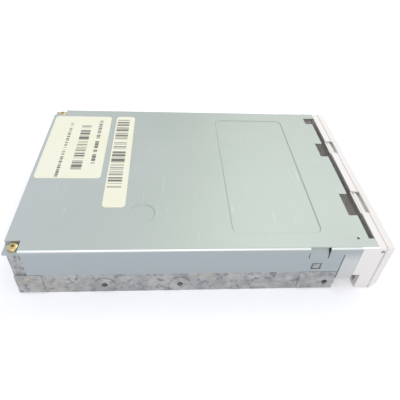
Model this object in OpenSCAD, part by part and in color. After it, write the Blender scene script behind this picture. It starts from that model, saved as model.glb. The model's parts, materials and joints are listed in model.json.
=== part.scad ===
// Internal floppy disk drive, one inch high, for 3.5 inch disks
// X runs across the drive, Y from the bezel back to the connectors, Z up from the mounting plane.
// The bezel's face is at the front, toward -Y. Names that end in _at are distances behind the
// front edge of the cover, which at() turns into a place along Y.
// At rest there is no disk: the door is shut, the slide is latched back and the holder is up.

/* [Overall] */
// Width across the cover
drive_w = 101.6; // [101:0.1:106]
// Height from the mounting plane to the top of the cover
drive_h = 25.4; // [25.2:0.1:30]
// Length of the cover
cover_l = 141.8; // [141:0.1:155]
// How far the bezel's face stands in front of the cover
bezel_reach = 7; // [6.8:0.1:9]

/* [Disk and its bay] */
// Room between the disk and the side of the drive
disk_side_room = 5.8; // [5.3:0.1:6.3]
// Length of the disk's case
disk_l = 94; // [93:0.1:95]
// Thickness of the disk's case
disk_t = 3.3; // [3:0.1:3.5]
// How far a loaded disk's near end stands in front of the cover's edge
disk_reach = 1; // [0:0.1:2]
// Distance from the disk's leading edge back to its centre
disk_centre = 45; // [44:0.1:46]
// How far the holder sinks with the disk
lift = 2.5; // [2:0.1:2.7]
// Free height inside the holder
bay_h = 4.2; // [4.1:0.1:4.5]
// Gap beside the disk in the holder
bay_side_gap = 0.5; // [0.2:0.1:0.8]
// Gap below the disk in the holder
bay_low_gap = 0.4; // [0.2:0.1:0.6]

/* [Top cover] */
// Thickness of the cover's steel
cover_t = 0.6; // [0.5:0.1:0.8]
// Outer radius of the folds along the sides
fold_r = 1.1; // [0.9:0.1:1.6]
// How far the front edge lies behind the two corner tabs
edge_set = 2.4; // [1:0.1:4]
// Width of each front corner tab
corner_tab_w = 5.2; // [4:0.1:7]
// Height of the side flanges' lower edge
flange_z = 11.6; // [11:0.1:13]
// Start of the side flanges
flange_at = 13; // [12:0.1:14]
// Width of the slit between a flange and its tongue
slit_w = 0.3; // [0.2:0.1:0.8]
// Height of the slit's upper end
slit_z = 21.6; // [19:0.1:22]
// Height of the front tongues' lower edge
tongue_z = 7; // [6:0.1:9]
// Depth of the windows in the front edge, from the corner tabs' edge
window_at = 6.1; // [5:0.1:7]
// Set of the sunk rectangle from the side of the drive
panel_side = 8.4; // [6:0.1:20]
// Length of the sunk rectangle
panel_l = 36.3; // [20:0.1:45]
// Front edge of the sunk rectangle
panel_at = 20.1; // [18:0.1:24]
// Depth of the sunk rectangle and circle
sink = 0.4; // [0.2:0.1:0.5]
// Diameter of the sunk circle
dimple_d = 11; // [8:0.1:12]
// Width of each rear corner step
corner_w = 5.4; // [5:0.1:6]
// Length of each rear corner step
corner_l = 5.8; // [5.5:0.1:7]
// Drop of each rear corner step
corner_drop = 1.5; // [1.4:0.1:2]
// Length of the window in each fold
scallop_l = 8.1; // [6:0.1:8.5]
// Start of the window in each fold
scallop_at = 18.9; // [18.5:0.1:19.5]
// Height of the fold's window and bend of the tab in it
scallop_r = 5.5; // [4:0.1:6]

/* [Labels] */
// Width of the large label
label_w = 52.4; // [30:0.1:60]
// Length of the large label
label_l = 28.9; // [15:0.1:29]
// Width of the strip label
strip_w = 71.4; // [40:0.1:76]
// Length of the strip label
strip_l = 9.5; // [5:0.1:10]
// Thickness of the label paper
label_t = 0.1; // [0.1:0.05:0.3]
// Corner radius of the labels
label_r = 1.8; // [0.5:0.1:3]

/* [Frame] */
// Thickness of the frame's floor
floor_t = 1.8; // [1.5:0.1:2]
// Room under the boards for their chips
under_room = 3; // [2.6:0.1:3.1]
// Front end of the side rails
rail_at = 13; // [12.8:0.1:13.4]
// How far the cast side face lies inside the flange's face
face_set = 0.5; // [0.2:0.1:0.8]
// Height of the upper rails
rail_top_z = 20; // [19:0.1:22]
// Diameter of the tapped M3 holes
tap_d = 2.5; // [2.4:0.1:2.6]
// Height of the right side holes
right_hole_z = 5; // [4.6:0.1:5.2]
// Height of the left side holes
left_hole_z = 4.8; // [4.6:0.1:5.2]
// Place of the front side hole
side_hole_at = 16.8; // [16.5:0.1:17.1]
// Spacing from the front side hole to the middle one
side_hole_long = 60; // [59:0.1:61]
// Spacing from the middle side hole to the rear one
side_hole_short = 30; // [29:0.1:31]
// Depth of the side holes
side_hole_l = 5; // [4:0.1:5.5]
// Place of the front bottom hole
base_hole_at = 34; // [32:0.1:36]
// Spacing of the bottom holes along the drive
base_hole_pitch = 60; // [55:0.1:61]

/* [Bezel, door, button and light] */
// How far the bezel's front plate stands out at each side
plate_out = 0.2; // [0.1:0.1:1]
// Thickness of the bezel's front plate
plate_l = 3.5; // [3.4:0.1:3.8]
// Room between the door and the side of the drive
door_side_room = 4.8; // [4.6:0.1:5]
// Height of the disk door
door_h = 7.2; // [6.8:0.1:7.3]
// Thickness of the disk door
door_t = 1.2; // [1:0.1:1.4]
// Diameter of the door's pins
door_pin_d = 1.5; // [1.2:0.1:1.6]
// Width of the eject button
button_w = 12; // [8:0.1:13]
// Height of the eject button
button_h = 6; // [5:0.1:6.4]
// Width of the activity light
light_w = 4; // [3:0.1:6]
// Height of the activity light
light_h = 2; // [1.5:0.1:3]
// Width of the slots in the bezel's top
slot_depth = 3.9; // [3:0.1:4.2]

/* [Holder and ejector] */
// Thickness of the holder's and the slide's steel
plate_t = 0.8; // [0.7:0.1:0.9]
// Travel of the ejector slide
slide_travel = 5.5; // [5:0.1:5.5]
// Diameter of the holder's side studs
stud_d = 2; // [1.8:0.1:2.2]
// Clearance of the studs in their slots, all round
stud_gap = 0.1; // [0.05:0.01:0.2]
// Thickness of the latch lever
lever_t = 0.7; // [0.6:0.1:0.8]
// Reach of the latch lever from its rivet to its pin
lever_r = 16; // [15:0.1:17]
// Swing of the latch lever
lever_swing = 75; // [60:1:76]
// Diameter of the slide springs
pull_spring_d = 3.4; // [3:0.1:3.6]

/* [Head carriage] */
// Radius of the outermost track
outer_track_r = 39.5; // [39:0.1:40]
// Travel of the head carriage
head_travel = 14.8; // [14:0.1:15]
// Distance from the heads to the upper arm's hinge
arm_l = 29.5; // [28:0.1:30]
// Thickness of the upper arm
arm_t = 1.6; // [1.2:0.1:1.8]
// Angle at which the upper arm stands off when no disk is loaded
arm_up = 8; // [7:0.1:8.2]
// Diameter of the guide rods
rod_d = 3; // [2.5:0.1:3.1]
// Diameter of the lead screw
screw_d = 3; // [2.5:0.1:3.2]
// Diameter of the stepper motor
stepper_d = 17; // [15:0.1:17]
// Length of the stepper motor
stepper_l = 16; // [13:0.1:16.5]

/* [Spindle motor] */
// Outer diameter of the rotor
rotor_d = 42; // [38:0.1:42]
// Height of the rotor
rotor_h = 5.4; // [5.2:0.1:5.6]
// Thickness of the rotor's steel
rotor_t = 0.8; // [0.6:0.1:0.9]
// Diameter of the spindle's shaft
shaft_d = 4; // [3.5:0.1:4.2]
// Diameter of the hub
hub_d = 25; // [24:0.1:27]
// Thickness of the hub
hub_t = 1.4; // [1.2:0.1:1.5]
// Number of wound teeth
teeth = 12; // [9:3:15]

/* [Boards and connectors] */
// Thickness of the boards
board_t = 1.2; // [1:0.1:1.4]
// Number of pins in each row of the data connector
data_columns = 17; // [10:1:17]
// Pitch of the data connector's pins
data_pitch = 2.54; // [2:0.01:2.54]
// Number of power pins
power_pins_n = 4; // [2:1:4]
// Pitch of the power pins
power_pitch = 2.5; // [2:0.1:2.54]
// Length of the connectors along the drive
connector_l = 8.8; // [8:0.1:9]

/* [Hidden] */
$fn = 48;
over = 0.5;

// Overall
overall_l = cover_l + bezel_reach;
half_w = drive_w / 2;
disk_w = drive_w - 2 * disk_side_room;
plate_w = drive_w + 2 * plate_out;
door_w = drive_w - 2 * door_side_room;
panel_w = drive_w - 2 * panel_side;
y_face = -overall_l / 2;
y_rear = overall_l / 2;
y_cover = y_face + bezel_reach;
function at(distance) = y_cover + distance;
fit_gap = 0.1;
slack = 0.3;

// Heights, from the bottom up
floor_z = under_room + board_t;
floor_top = floor_z + floor_t;
rotor_lift = 1;
rotor_z = floor_z + rotor_lift;
rotor_top = rotor_z + rotor_h;
hub_top = rotor_top + hub_t;
hub_stand = 0.8;
disk_low_z = hub_top + hub_stand;
disk_up_z = disk_low_z + lift;
bay_z = disk_up_z - bay_low_gap;
bay_top = bay_z + bay_h;
holder_z = bay_z - plate_t;
holder_top = bay_top + plate_t;
lever_z = holder_top + fit_gap;
lever_top = lever_z + lever_t;
slide_z = lever_top + 2 * fit_gap;
slide_plate_t = 0.6;
slide_top = slide_z + slide_plate_t;
stud_z = (bay_z + bay_top) / 2;
cover_in_z = drive_h - cover_t;
media_z = disk_low_z + disk_t / 2;

// Widths, from the disk outward
holder_in = disk_w / 2 + bay_side_gap;
holder_out = holder_in + plate_t;
slide_in = holder_out + slack;
slide_out = slide_in + plate_t;
rail_gap = 0.4;
rail_in = slide_out + rail_gap;
cover_in = half_w - cover_t;
rail_out = cover_in - fit_gap;
cast_face = half_w - face_set;

// Lengths
y_disk_stop = at(disk_l - disk_reach);
y_spindle = y_disk_stop - disk_centre;
y_head = y_spindle + outer_track_r;
y_hinge = y_head + arm_l;

// Frame
rail_low_top = flange_z - slack;
front_block_l = 15;
front_block_z = 0.7;
rear_pad_l = 10;
rear_pad_z = 0.8;
foot_at = 15.9;
foot_l = 6.1;
frame_rear_set = 1.3;
y_frame = y_rear - frame_rear_set;
rear_wall_t = 1.6;
rear_wall_z = 12.6;
rear_wall_top = 22;
column_w = 5;
column_l = 4.9;
column_top = drive_h - corner_drop - cover_t;
column_x = cover_in - column_w - fit_gap;
floor_at = 8;
floor_end_set = 13;
y_floor_end = y_frame - floor_end_set;
boss_r = 4;
boss_in = half_w - 6;
base_boss_r = 3.5;
base_boss_set = 6.8;
base_boss_x = half_w - base_boss_set;
lug_at = 21.4;
lug_l = 2.7;
lug_z = 13.6;
lug_h = 2.7;
lug_set = 0.2;
front_notch_set = 20.8;
front_notch_x = half_w - front_notch_set;
front_notch_at = 14;
rotor_hole_gap = 2;
stud_front_at = 32;
stud_rear_at = 74;
floor_front_set = 4.8;
floor_front_w = half_w - floor_front_set;
side_holes_at = [side_hole_at, side_hole_at + side_hole_long,
  side_hole_at + side_hole_long + side_hole_short];
base_holes_at = [base_hole_at, base_hole_at + base_hole_pitch];

// Cover
window_shares = [[0.392, 0.447], [0.094, 0.204], [-0.319, -0.184]];
lug_window_gap = 0.7;
dimple_set = 20.2;
dimple_x = -half_w + dimple_set;
dimple_at = 92.3;
pin_hole_d = 1.2;
pin_hole_set = 5.4;
pin_hole_x = -half_w + pin_hole_set;
pin_hole_at = 6.7;
flange_end_set = 6.3;
screw_x = half_w - 3.15;
screw_set = 3.5;
cover_screw_d = 2.6;
cover_screw_l = 7;
cover_head_d = 4.2;
cover_head_h = 1.3;
recess_share = 0.6;
tongue_at = 6.2;
scallop_slit = 0.4;
scallop_set = 1;
panel_r = 3;

// Labels
label_side = 7.1;
label_x = half_w - label_side - label_w / 2;
label_at = 111.4;
strip_side = 6.9;
strip_x = half_w - strip_side - strip_w / 2;
strip_at = 99.2;

// Bezel
bezel_gap = 0.15;
plate_z = 0.2;
chamfer_low = 2.1;
chamfer_top = 0.8;
chamfer_side = 0.9;
groove = 0.5;
y_plate = y_face + plate_l;
body_z = 0.5;
body_set = 0.1;
bezel_wall = 2;
bezel_floor_t = 1.3;
bezel_roof_t = 0.8;
return_wall = 2.4;
return_at = 6.05;
return_low_at = 2.7;
return_step_z = 9;
return_top_gap = 0.1;
lip_l = 1.8;
door_gap = 0.4;
door_room = 0.3;
pocket_drop = 0.6;
shelf_t = 1;
shelf_at = 0.8;
bezel_slot_shares = [[0.128, 0.231], [-0.299, -0.164]];
slot_rib_l = 0.7;
slot_rib_drop = 0.8;
hook_x = 18;
hook_w = 8;
hook_t = 1.4;
hook_at = 17;
hook_nub_l = 2;
hook_nub_h = 1.4;
hook_nub_gap = 0.15;

// Door
door_set = 1.2;
door_drop = 0.3;
door_pivot_z = 23.1;
door_pivot_set = 4.9;
y_pivot = y_face + door_pivot_set;
door_z = disk_up_z - door_drop;
door_barrel_d = 2.4;
door_spring_w = 3.2;
door_spring_wire = 0.4;
door_pin_gap = 0.05;
door_pin_bite = 1.8;
door_rib_h = 1.6;

// Button and light
button_set_x = 12.8;
button_x = half_w - button_set_x;
button_z = 3.6;
button_set = 0.1;
button_gap = 0.25;
button_cap_l = 6.4;
stem_w = 6;
stem_h = 3.4;
light_x = -button_x;
light_z = 5.5;
light_proud = 0.1;
light_seat = 0.2;
light_l = 6;
light_lead_d = 0.6;
light_lead_pitch = 2.54;
light_lead_at = 17;

// Holder and lever
holder_at = 8;
holder_past = 1;
lip_w = 4.3;
window_w = 17;
window_from = 16;
tongue_w = 5.5;
tongue_l = 11;
lever_x = dimple_x;
lever_set = 3;
y_lever = y_disk_stop - lever_set;
lever_rest = -60;
lever_pin_d = 2;
lever_arm_w = 5;
lever_hub_d = 7;
lever_tail_w = 3;
lever_tail_r = 9;
lever_tail_turn = 215;
lever_pin_drop = 4.4;
rivet_d = 3;
rivet_head_d = 4.6;
rivet_head_h = 0.6;
lever_spring_h = 1.4;
lever_spring_wire = 0.4;
running = 0.05;

// Slide
slide_at = 13.8;
slot_flat_share = 0.97;
slide_plate_l = 46;
slide_low_z = stud_z - lift - stud_d / 2 - plate_t;
slide_right_end = 84;
slide_left_end = 91;
leg_at = 6.6;
leg_w = 6;
leg_z = 4.6;
leg_tab_h = 4.4;
leg_tab_w = 14.4;
leg_tab_in = slide_out - leg_tab_w;
slide_window_w = 40;
slide_window_at = 22;
latch_tab_l = 3;
latch_tab_w = 2.2;
latch_slack = 2.2;
latch_hook_drop = 0.6;
spring_tab_at = 58;
spring_tab_l = 4;
spring_in = 4.9;
spring_x = slide_out - spring_in;
spring_tab_z = 7.4;
spring_z = 9.6;
spring_post_d = 2.2;
spring_post_at = 24;
spring_wire = 0.5;

// Carriage
carriage_z = 7;
carriage_top = 11.6;
carriage_w = 17;
carriage_front = 2.8;
carriage_back = 2;
head_w = 6;
head_l = 4;
head_gap = 0.1;
platform_l = 8;
platform_gap = 0.5;
block_l = 7;
block_w = 16;
leaf_t = 0.2;
leaf_w = 12;
arm_over = 3;
arm_w = 13;
arm_gap = 0.5;
arm_z = disk_low_z + disk_t + arm_gap;
nub_r = 18;
nub_l = 2;
nub_rise = 1;
nub_reach = 5.5;
rod_z = 9.3;
left_rod_x = -13;
right_rod_x = 11.5;
rod_room = 3.7;
seat_l = 3;
seat_w = 5;
bearing_d = 6.2;
bearing_front = 2.5;
rod_front_at = y_head - y_cover + bearing_front - head_travel - seat_l - rod_room;
bearing_l = 22;
fork_from = 5.8;
fork_l = 5;
left_rod_end = 124;
right_rod_end = 110.5;
screw_x_centre = 18;
screw_z = 10.5;
nut_w = 6;
nut_l = 5;
nut_from = 11.5;
nut_z = 8.2;
nut_top = 12.4;
nut_arm_t = 1.2;
flag_t = 0.8;
flag_l = 8;
flag_arm_l = 2.5;
flag_z = 9;
flag_h = 3;

// Stepper motor and bracket
bracket_t = 0.8;
bracket_at = 77;
motor_at = 112;
bracket_w = 15;
upright_w = 8;
bracket_front_z = 13;
bracket_rear_top = 16;
shaft_hole_d = 6;
can_t = 0.6;
stator_gap = 0.3;
stepper_rotor_d = 9;
stepper_rotor_gap = 0.25;
stepper_inset = 1.2;
stepper_hole_gap = 0.6;
bracket_screw_x = 23.6;
bracket_screw_in = 3;
screw_shank_d = 1.9;
screw_hole_d = 2;
screw_head_d = 3.6;
screw_head_h = 1.1;
board_screw_l = 2.6;

// Spindle motor
bearing_hole = 0.03;
sleeve_d = 8;
sleeve_flange_d = 14;
rotor_air = 0.3;
magnet_t = 1.8;
magnet_set = 0.2;
core_h = 2.4;
core_lift = 1.6;
core_yoke_d = 16;
tooth_w = 2;
shoe_l = 1.2;
shoe_w = 6;
coil_grow = 0.9;
coil_l = 5;
coil_from = 9;
shaft_tip = 1.4;
drive_pin_d = 2.4;
drive_pin_r = 10.4;
drive_pin_h = 1;
drive_pin_travel = 0.9;

// Boards
board_front_at = 14;
board_strip_l = 8;
motor_board_end = 92;
motor_board_set = 12.8;
motor_board_w = drive_w - 2 * motor_board_set;
board_strip_set = 7.3;
board_strip_w = drive_w - 2 * board_strip_set;
controller_at = 98;
controller_end_set = 2.8;
controller_split_x = 6;
controller_strip_l = 8.2;
motor_screw_set = 4;
motor_screw_x = motor_board_w / 2 - motor_screw_set;
motor_screw_front_at = 26;
motor_screw_rear_at = 86;
motor_screws_at = [motor_screw_front_at, motor_screw_rear_at];
controller_l = y_rear - controller_end_set - at(controller_at);
controller_screw_shares = [[-0.874, 0.12], [-0.874, 0.66], [0.034, 0.12]];
controller_screws = [for (share = controller_screw_shares)
  [share[0] * board_strip_w / 2, at(controller_at) + share[1] * controller_l]];
chip_t = 1.2;
big_chip = 14;
motor_chip = 10;
lead_t = 0.2;
lead_reach = 1.2;
lead_n = 8;
lead_share = 0.5;
capacitor_d = 4;
capacitor_h = 5.4;
capacitor_shares = [[-0.62, 0.79], [-0.45, 0.79]];

// Connectors
data_x = 8;
data_wall = 2.2;
data_h = 8;
data_cavity_h = 5.6;
data_cavity_l = 6;
data_key_w = 4.5;
data_pin_t = 0.64;
data_pin_l = 5.2;
power_set = 17.8;
power_x = -half_w + power_set;
power_wall = 2;
power_h = 6.4;
power_cavity_l = 5.6;
power_pin_t = 0.8;
data_w = (data_columns - 1) * data_pitch + 3 * data_wall + data_pin_t;
power_w = (power_pins_n - 1) * power_pitch + 2 * power_wall + 2 * power_pin_t;

// Switches and sensor
switch_at = 18.3;
switch_w = 5.6;
switch_h = 4.6;
plunger_d = 2;
plunger_up = 0.6;
plunger_travel = 1.2;
plunger_gap = 0.08;
switch_pin_d = 0.7;
switch_slot = 1.2;
switch_shares = [-0.444, -0.35, 0.422];
switches_x = switch_shares * disk_w;
sensor_x = -23;
sensor_at = 107;
sensor_w = 8;
sensor_l = 6;
sensor_gap = 3;
sensor_base_h = 2;
sensor_h = 7;

// Flex cable
flex_w = 8;
flex_t = 0.3;
flex_z = 8.6;
flex_bend_r = 1.7;
flex_end_at = 130.5;
socket_w = 10;
socket_h = 2;
socket_l = 2.4;

module block(x, y, z) {
  translate([x[0], y[0], z[0]]) cube([x[1] - x[0], y[1] - y[0], z[1] - z[0]]);
}

module rod_x(d, x, y, z) {
  translate([x[0], y, z]) rotate([0, 90, 0]) cylinder(d = d, h = x[1] - x[0]);
}

module rod_y(d, x, y, z) {
  translate([x, y[0], z]) rotate([-90, 0, 0]) cylinder(d = d, h = y[1] - y[0]);
}

module rod_z(d, x, y, z) {
  translate([x, y, z[0]]) cylinder(d = d, h = z[1] - z[0]);
}

module tube_z(outer, inner, x, y, z) {
  difference() {
    rod_z(outer, x, y, z);
    rod_z(inner, x, y, [z[0] - over, z[1] + over]);
  }
}

module both_sides() {
  children();
  mirror([1, 0, 0]) children();
}

// Frame, cast in one piece
module side_rods(d, x) {
  for (hole = side_holes_at) {
    rod_x(d, x, at(hole), right_hole_z);
    mirror([1, 0, 0]) rod_x(d, x, at(hole), left_hole_z);
  }
}

module frame_sides() {
  // round bosses of the side holes
  side_rods(2 * boss_r, [boss_in, half_w]);
  both_sides() {
    // low rail, set in a little from the flange's face
    block([rail_in, cast_face], [at(rail_at + front_block_l), y_frame - rear_pad_l], [0, rail_low_top]);
    // front block with its foot, flush with the flange
    block([rail_in, half_w], [at(rail_at), at(rail_at + front_block_l)], [front_block_z, rail_low_top]);
    block([rail_in, cast_face], [at(foot_at), at(foot_at + foot_l)], [0, rail_low_top]);
    // rear pad
    block([rail_in, half_w], [y_frame - rear_pad_l, y_frame], [rear_pad_z, rail_low_top]);
    // upper rail, behind the cover's flange
    block([rail_in, rail_out], [at(rail_at), y_frame], [rail_low_top - over, rail_top_z]);
    // corner column that carries the cover's screw
    block([column_x, rail_out], [y_frame - column_l, y_frame], [rear_pad_z, column_top]);
    // bosses of the bottom holes
    for (hole = base_holes_at)
      rod_z(2 * base_boss_r, base_boss_x, at(hole), [0, floor_z + over]);
    // lug that the cover's window snaps over
    block([rail_out - over, half_w - lug_set], [at(lug_at), at(lug_at + lug_l)], [lug_z, lug_z + lug_h]);
    // post for a slide spring
    rod_z(spring_post_d, spring_x, at(spring_post_at), [floor_top - over, spring_z + pull_spring_d / 2]);
  }
}

module rod_seat(x, seat_at) {
  block([x - seat_w / 2, x + seat_w / 2], [at(seat_at), at(seat_at + seat_l)],
    [floor_top - over, rod_z]);
  rod_y(seat_w, x, [at(seat_at), at(seat_at + seat_l)], rod_z);
}

module frame_solid() {
  frame_sides();
  block([-floor_front_w, floor_front_w], [at(floor_at), at(rail_at) + over], [floor_z, floor_top]);
  block([-rail_in - over, rail_in + over], [at(rail_at), y_floor_end], [floor_z, floor_top]);
  block([-column_x - over, column_x + over], [y_frame - rear_wall_t, y_frame], [rear_wall_z, rear_wall_top]);
  rod_seat(left_rod_x, rod_front_at);
  rod_seat(left_rod_x, left_rod_end - seat_l);
  rod_seat(right_rod_x, rod_front_at);
  rod_seat(right_rod_x, right_rod_end - seat_l);
}

module frame_cuts() {
  side_rods(tap_d, [half_w - side_hole_l, half_w + over]);
  // room for the rotor
  rod_z(rotor_d + 2 * rotor_hole_gap, 0, y_spindle, [floor_z - over, floor_top + over]);
  // room for the stepper motor
  block([screw_x_centre - stepper_d / 2 - stepper_hole_gap, screw_x_centre + stepper_d / 2 + stepper_hole_gap],
    [at(motor_at), at(motor_at) + stepper_l + stepper_hole_gap], [floor_z - over, floor_top + over]);
  // front right corner, where the button's tab travels
  block([front_notch_x, rail_in], [at(floor_at) - over, at(front_notch_at)], [floor_z - over, floor_top + over]);
  // holes for the guide rods
  rod_y(rod_d, left_rod_x, [at(rod_front_at) - over, at(left_rod_end) + over], rod_z);
  rod_y(rod_d, right_rod_x, [at(rod_front_at) - over, at(right_rod_end) + over], rod_z);
  both_sides() {
    for (hole = base_holes_at)
      rod_z(tap_d, base_boss_x, at(hole), [-over, floor_top + over]);
    // upright guides for the holder's studs
    for (place = [stud_front_at, stud_rear_at])
      block([rail_in - over, rail_out + over],
        [at(place) - stud_d / 2 - stud_gap, at(place) + stud_d / 2 + stud_gap],
        [stud_z - lift - stud_d / 2 - stud_gap, rail_top_z + over]);
    rod_z(cover_screw_d, screw_x, y_rear - screw_set, [column_top - cover_screw_l, column_top + over]);
    // holes for the bezel's hooks
    block([hook_x - hook_w / 2 - hook_nub_gap, hook_x + hook_w / 2 + hook_nub_gap],
      [at(hook_at) - hook_nub_l - hook_nub_gap, at(hook_at) + hook_nub_gap], [floor_z - over, floor_top + over]);
  }
  // screw holes for the boards and the bracket
  for (x = [-motor_screw_x, motor_screw_x])
    for (place = motor_screws_at)
      rod_z(screw_hole_d, x, at(place), [floor_z - over, floor_top + over]);
  for (place = controller_screws)
    rod_z(screw_hole_d, place[0], place[1], [floor_z - over, floor_top + over]);
  for (y = [at(bracket_at) + bracket_screw_in, at(motor_at) - bracket_screw_in])
    rod_z(screw_hole_d, bracket_screw_x, y, [floor_z - over, floor_top + over]);
  // slots for the switches' pins
  for (x = switches_x)
    block([x - switch_w / 2 + switch_slot, x + switch_w / 2 - switch_slot],
      [at(switch_at) - switch_slot, at(switch_at) + switch_slot], [floor_z - over, floor_top + over]);
}

module chassis_frame() {
  color([0.70, 0.71, 0.71])
    difference() {
      frame_solid();
      frame_cuts();
    }
}

// Top cover, folded from one sheet
module cover_profile(depth) {
  // section across the drive: a channel with round outer folds
  difference() {
    union() {
      translate([-half_w + fold_r, -fold_r]) square([drive_w - 2 * fold_r, fold_r]);
      translate([-half_w, -depth]) square([drive_w, depth - fold_r]);
      for (side = [-1, 1])
        translate([side * (half_w - fold_r), -fold_r]) circle(r = fold_r);
    }
    translate([-cover_in, -depth - over]) square([2 * cover_in, depth + over - fold_r]);
    translate([-cover_in + fold_r - cover_t, -fold_r - over])
      square([2 * (cover_in - fold_r + cover_t), over + fold_r - cover_t]);
    for (side = [-1, 1])
      translate([side * (half_w - fold_r), -fold_r]) circle(r = fold_r - cover_t);
  }
}

module cover_run(depth, y) {
  translate([0, y[1], drive_h]) rotate([90, 0, 0]) linear_extrude(y[1] - y[0]) cover_profile(depth);
}

module cover_shell() {
  cover_run(drive_h - flange_z, [at(flange_at), y_rear - flange_end_set]);
  // front tongues reach lower, apart from the flanges by a slit
  cover_run(drive_h - tongue_z, [at(tongue_at), at(flange_at) - slit_w]);
  cover_run(drive_h - slit_z, [at(flange_at) - slit_w - over, at(flange_at) + over]);
  // flat stretches before the tongues and behind the flanges
  block([-half_w, half_w], [at(0), at(tongue_at) + over], [cover_in_z, drive_h]);
  block([-half_w, half_w], [y_rear - flange_end_set - over, y_rear], [cover_in_z, drive_h]);
  // underside of the sunk rectangle and circle
  block([-panel_w / 2 - cover_t, panel_w / 2 + cover_t], [at(panel_at) - cover_t, at(panel_at + panel_l) + cover_t],
    [cover_in_z - sink, cover_in_z + cover_t / 2]);
  rod_z(dimple_d + 2 * cover_t, dimple_x, at(dimple_at), [cover_in_z - sink, cover_in_z + cover_t / 2]);
}

module rear_corner() {
  // lowered corner tab with its joggle
  x_step = half_w - corner_w;
  y_step = y_rear - corner_l;
  z_tab = drive_h - corner_drop;
  block([x_step - cover_t, half_w - fit_gap], [y_step, y_rear], [z_tab - cover_t, z_tab]);
  block([x_step - cover_t, x_step], [y_step - cover_t, y_rear], [z_tab - cover_t, drive_h]);
  block([x_step - cover_t, half_w], [y_step - cover_t, y_step], [z_tab - cover_t, drive_h]);
}

module scallop_tab() {
  // stretch of a flange that leans in behind its window, free at the top
  translate([half_w - scallop_r, at(scallop_at + scallop_l) - scallop_slit, drive_h - scallop_r])
    rotate([90, 0, 0])
      linear_extrude(scallop_l - 2 * scallop_slit)
        intersection() {
          difference() {
            circle(r = scallop_r);
            circle(r = scallop_r - cover_t);
          }
          square([scallop_r, scallop_r - cover_t - scallop_slit]);
        }
}

module top_cover() {
  color([0.76, 0.80, 0.77])
    difference() {
      union() {
        difference() {
          cover_shell();
          // sunk rectangle and circle
          translate([0, at(panel_at), drive_h - sink]) rounded_plate(panel_w, panel_l, panel_r, sink + over);
          rod_z(dimple_d, dimple_x, at(dimple_at), [drive_h - sink, drive_h + over]);
          // front edge between the corner tabs
          block([-half_w + corner_tab_w, half_w - corner_tab_w], [at(0) - over, at(edge_set)],
            [cover_in_z - over, drive_h + over]);
          for (share = window_shares)
            block([share[0] * drive_w, share[1] * drive_w], [at(0) - over, at(window_at)],
              [cover_in_z - over, drive_h + over]);
          rod_z(pin_hole_d, pin_hole_x, at(pin_hole_at), [cover_in_z - over, drive_h + over]);
          both_sides() {
            // windows for the frame's lugs
            block([cover_in - over, half_w + over],
              [at(lug_at) - lug_window_gap, at(lug_at + lug_l) + lug_window_gap],
              [lug_z - lug_window_gap / 2, lug_z + lug_h + lug_window_gap]);
            block([half_w - corner_w, half_w + over], [y_rear - corner_l, y_rear + over],
              [cover_in_z - over, drive_h + over]);
            block([half_w - scallop_set, half_w + over], [at(scallop_at), at(scallop_at + scallop_l)],
              [drive_h - scallop_r, drive_h + over]);
          }
        }
        both_sides() {
          rear_corner();
          scallop_tab();
        }
      }
      both_sides()
        rod_z(cover_screw_d + fit_gap, screw_x, y_rear - screw_set, [column_top - over, drive_h + over]);
    }
}

module cross_head(d, x, y, z) {
  // pan head with a cross recess, z is its seat
  recess = d / 5;
  difference() {
    rod_z(d, x, y, [z, z + cover_head_h]);
    for (turn = [0, 90])
      translate([x, y, z + cover_head_h]) rotate([0, 0, turn])
        cube([recess_share * d, recess, cover_head_h], center = true);
  }
}

module cover_screws() {
  color([0.72, 0.62, 0.35])
    both_sides() {
      cross_head(cover_head_d, screw_x, y_rear - screw_set, column_top + cover_t);
      rod_z(cover_screw_d - 2 * running, screw_x, y_rear - screw_set,
        [column_top - cover_screw_l + slack, column_top + cover_t]);
    }
}

module rounded_plate(w, l, r, h) {
  linear_extrude(h) {
    translate([-w / 2 + r, 0]) square([w - 2 * r, l]);
    translate([-w / 2, r]) square([w, l - 2 * r]);
    for (x = [-w / 2 + r, w / 2 - r])
      for (y = [r, l - r])
        translate([x, y]) circle(r = r);
  }
}

module label_main() {
  color([0.97, 0.96, 0.86])
    translate([label_x, at(label_at), drive_h]) rounded_plate(label_w, label_l, label_r, label_t);
}

module label_strip() {
  color([0.97, 0.96, 0.86])
    translate([strip_x, at(strip_at), drive_h]) rounded_plate(strip_w, strip_l, label_r, label_t);
}

// Bezel
module bezel_plate() {
  // tapered front plate: the side outline, then its ends cut back
  rise = drive_h - plate_z;
  difference() {
    translate([-plate_w / 2, y_plate, plate_z])
      rotate([90, 0, 90])
        linear_extrude(plate_w)
          polygon([[0, 0], [0, rise], [-plate_l, rise - chamfer_top], [-plate_l, chamfer_low]]);
    both_sides()
      translate([plate_w / 2, y_plate, -over])
        rotate([0, 0, -atan(chamfer_side / plate_l)])
          translate([0, -2 * plate_l, 0]) cube([plate_l, 2 * plate_l, drive_h + 2 * over]);
  }
}

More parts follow.
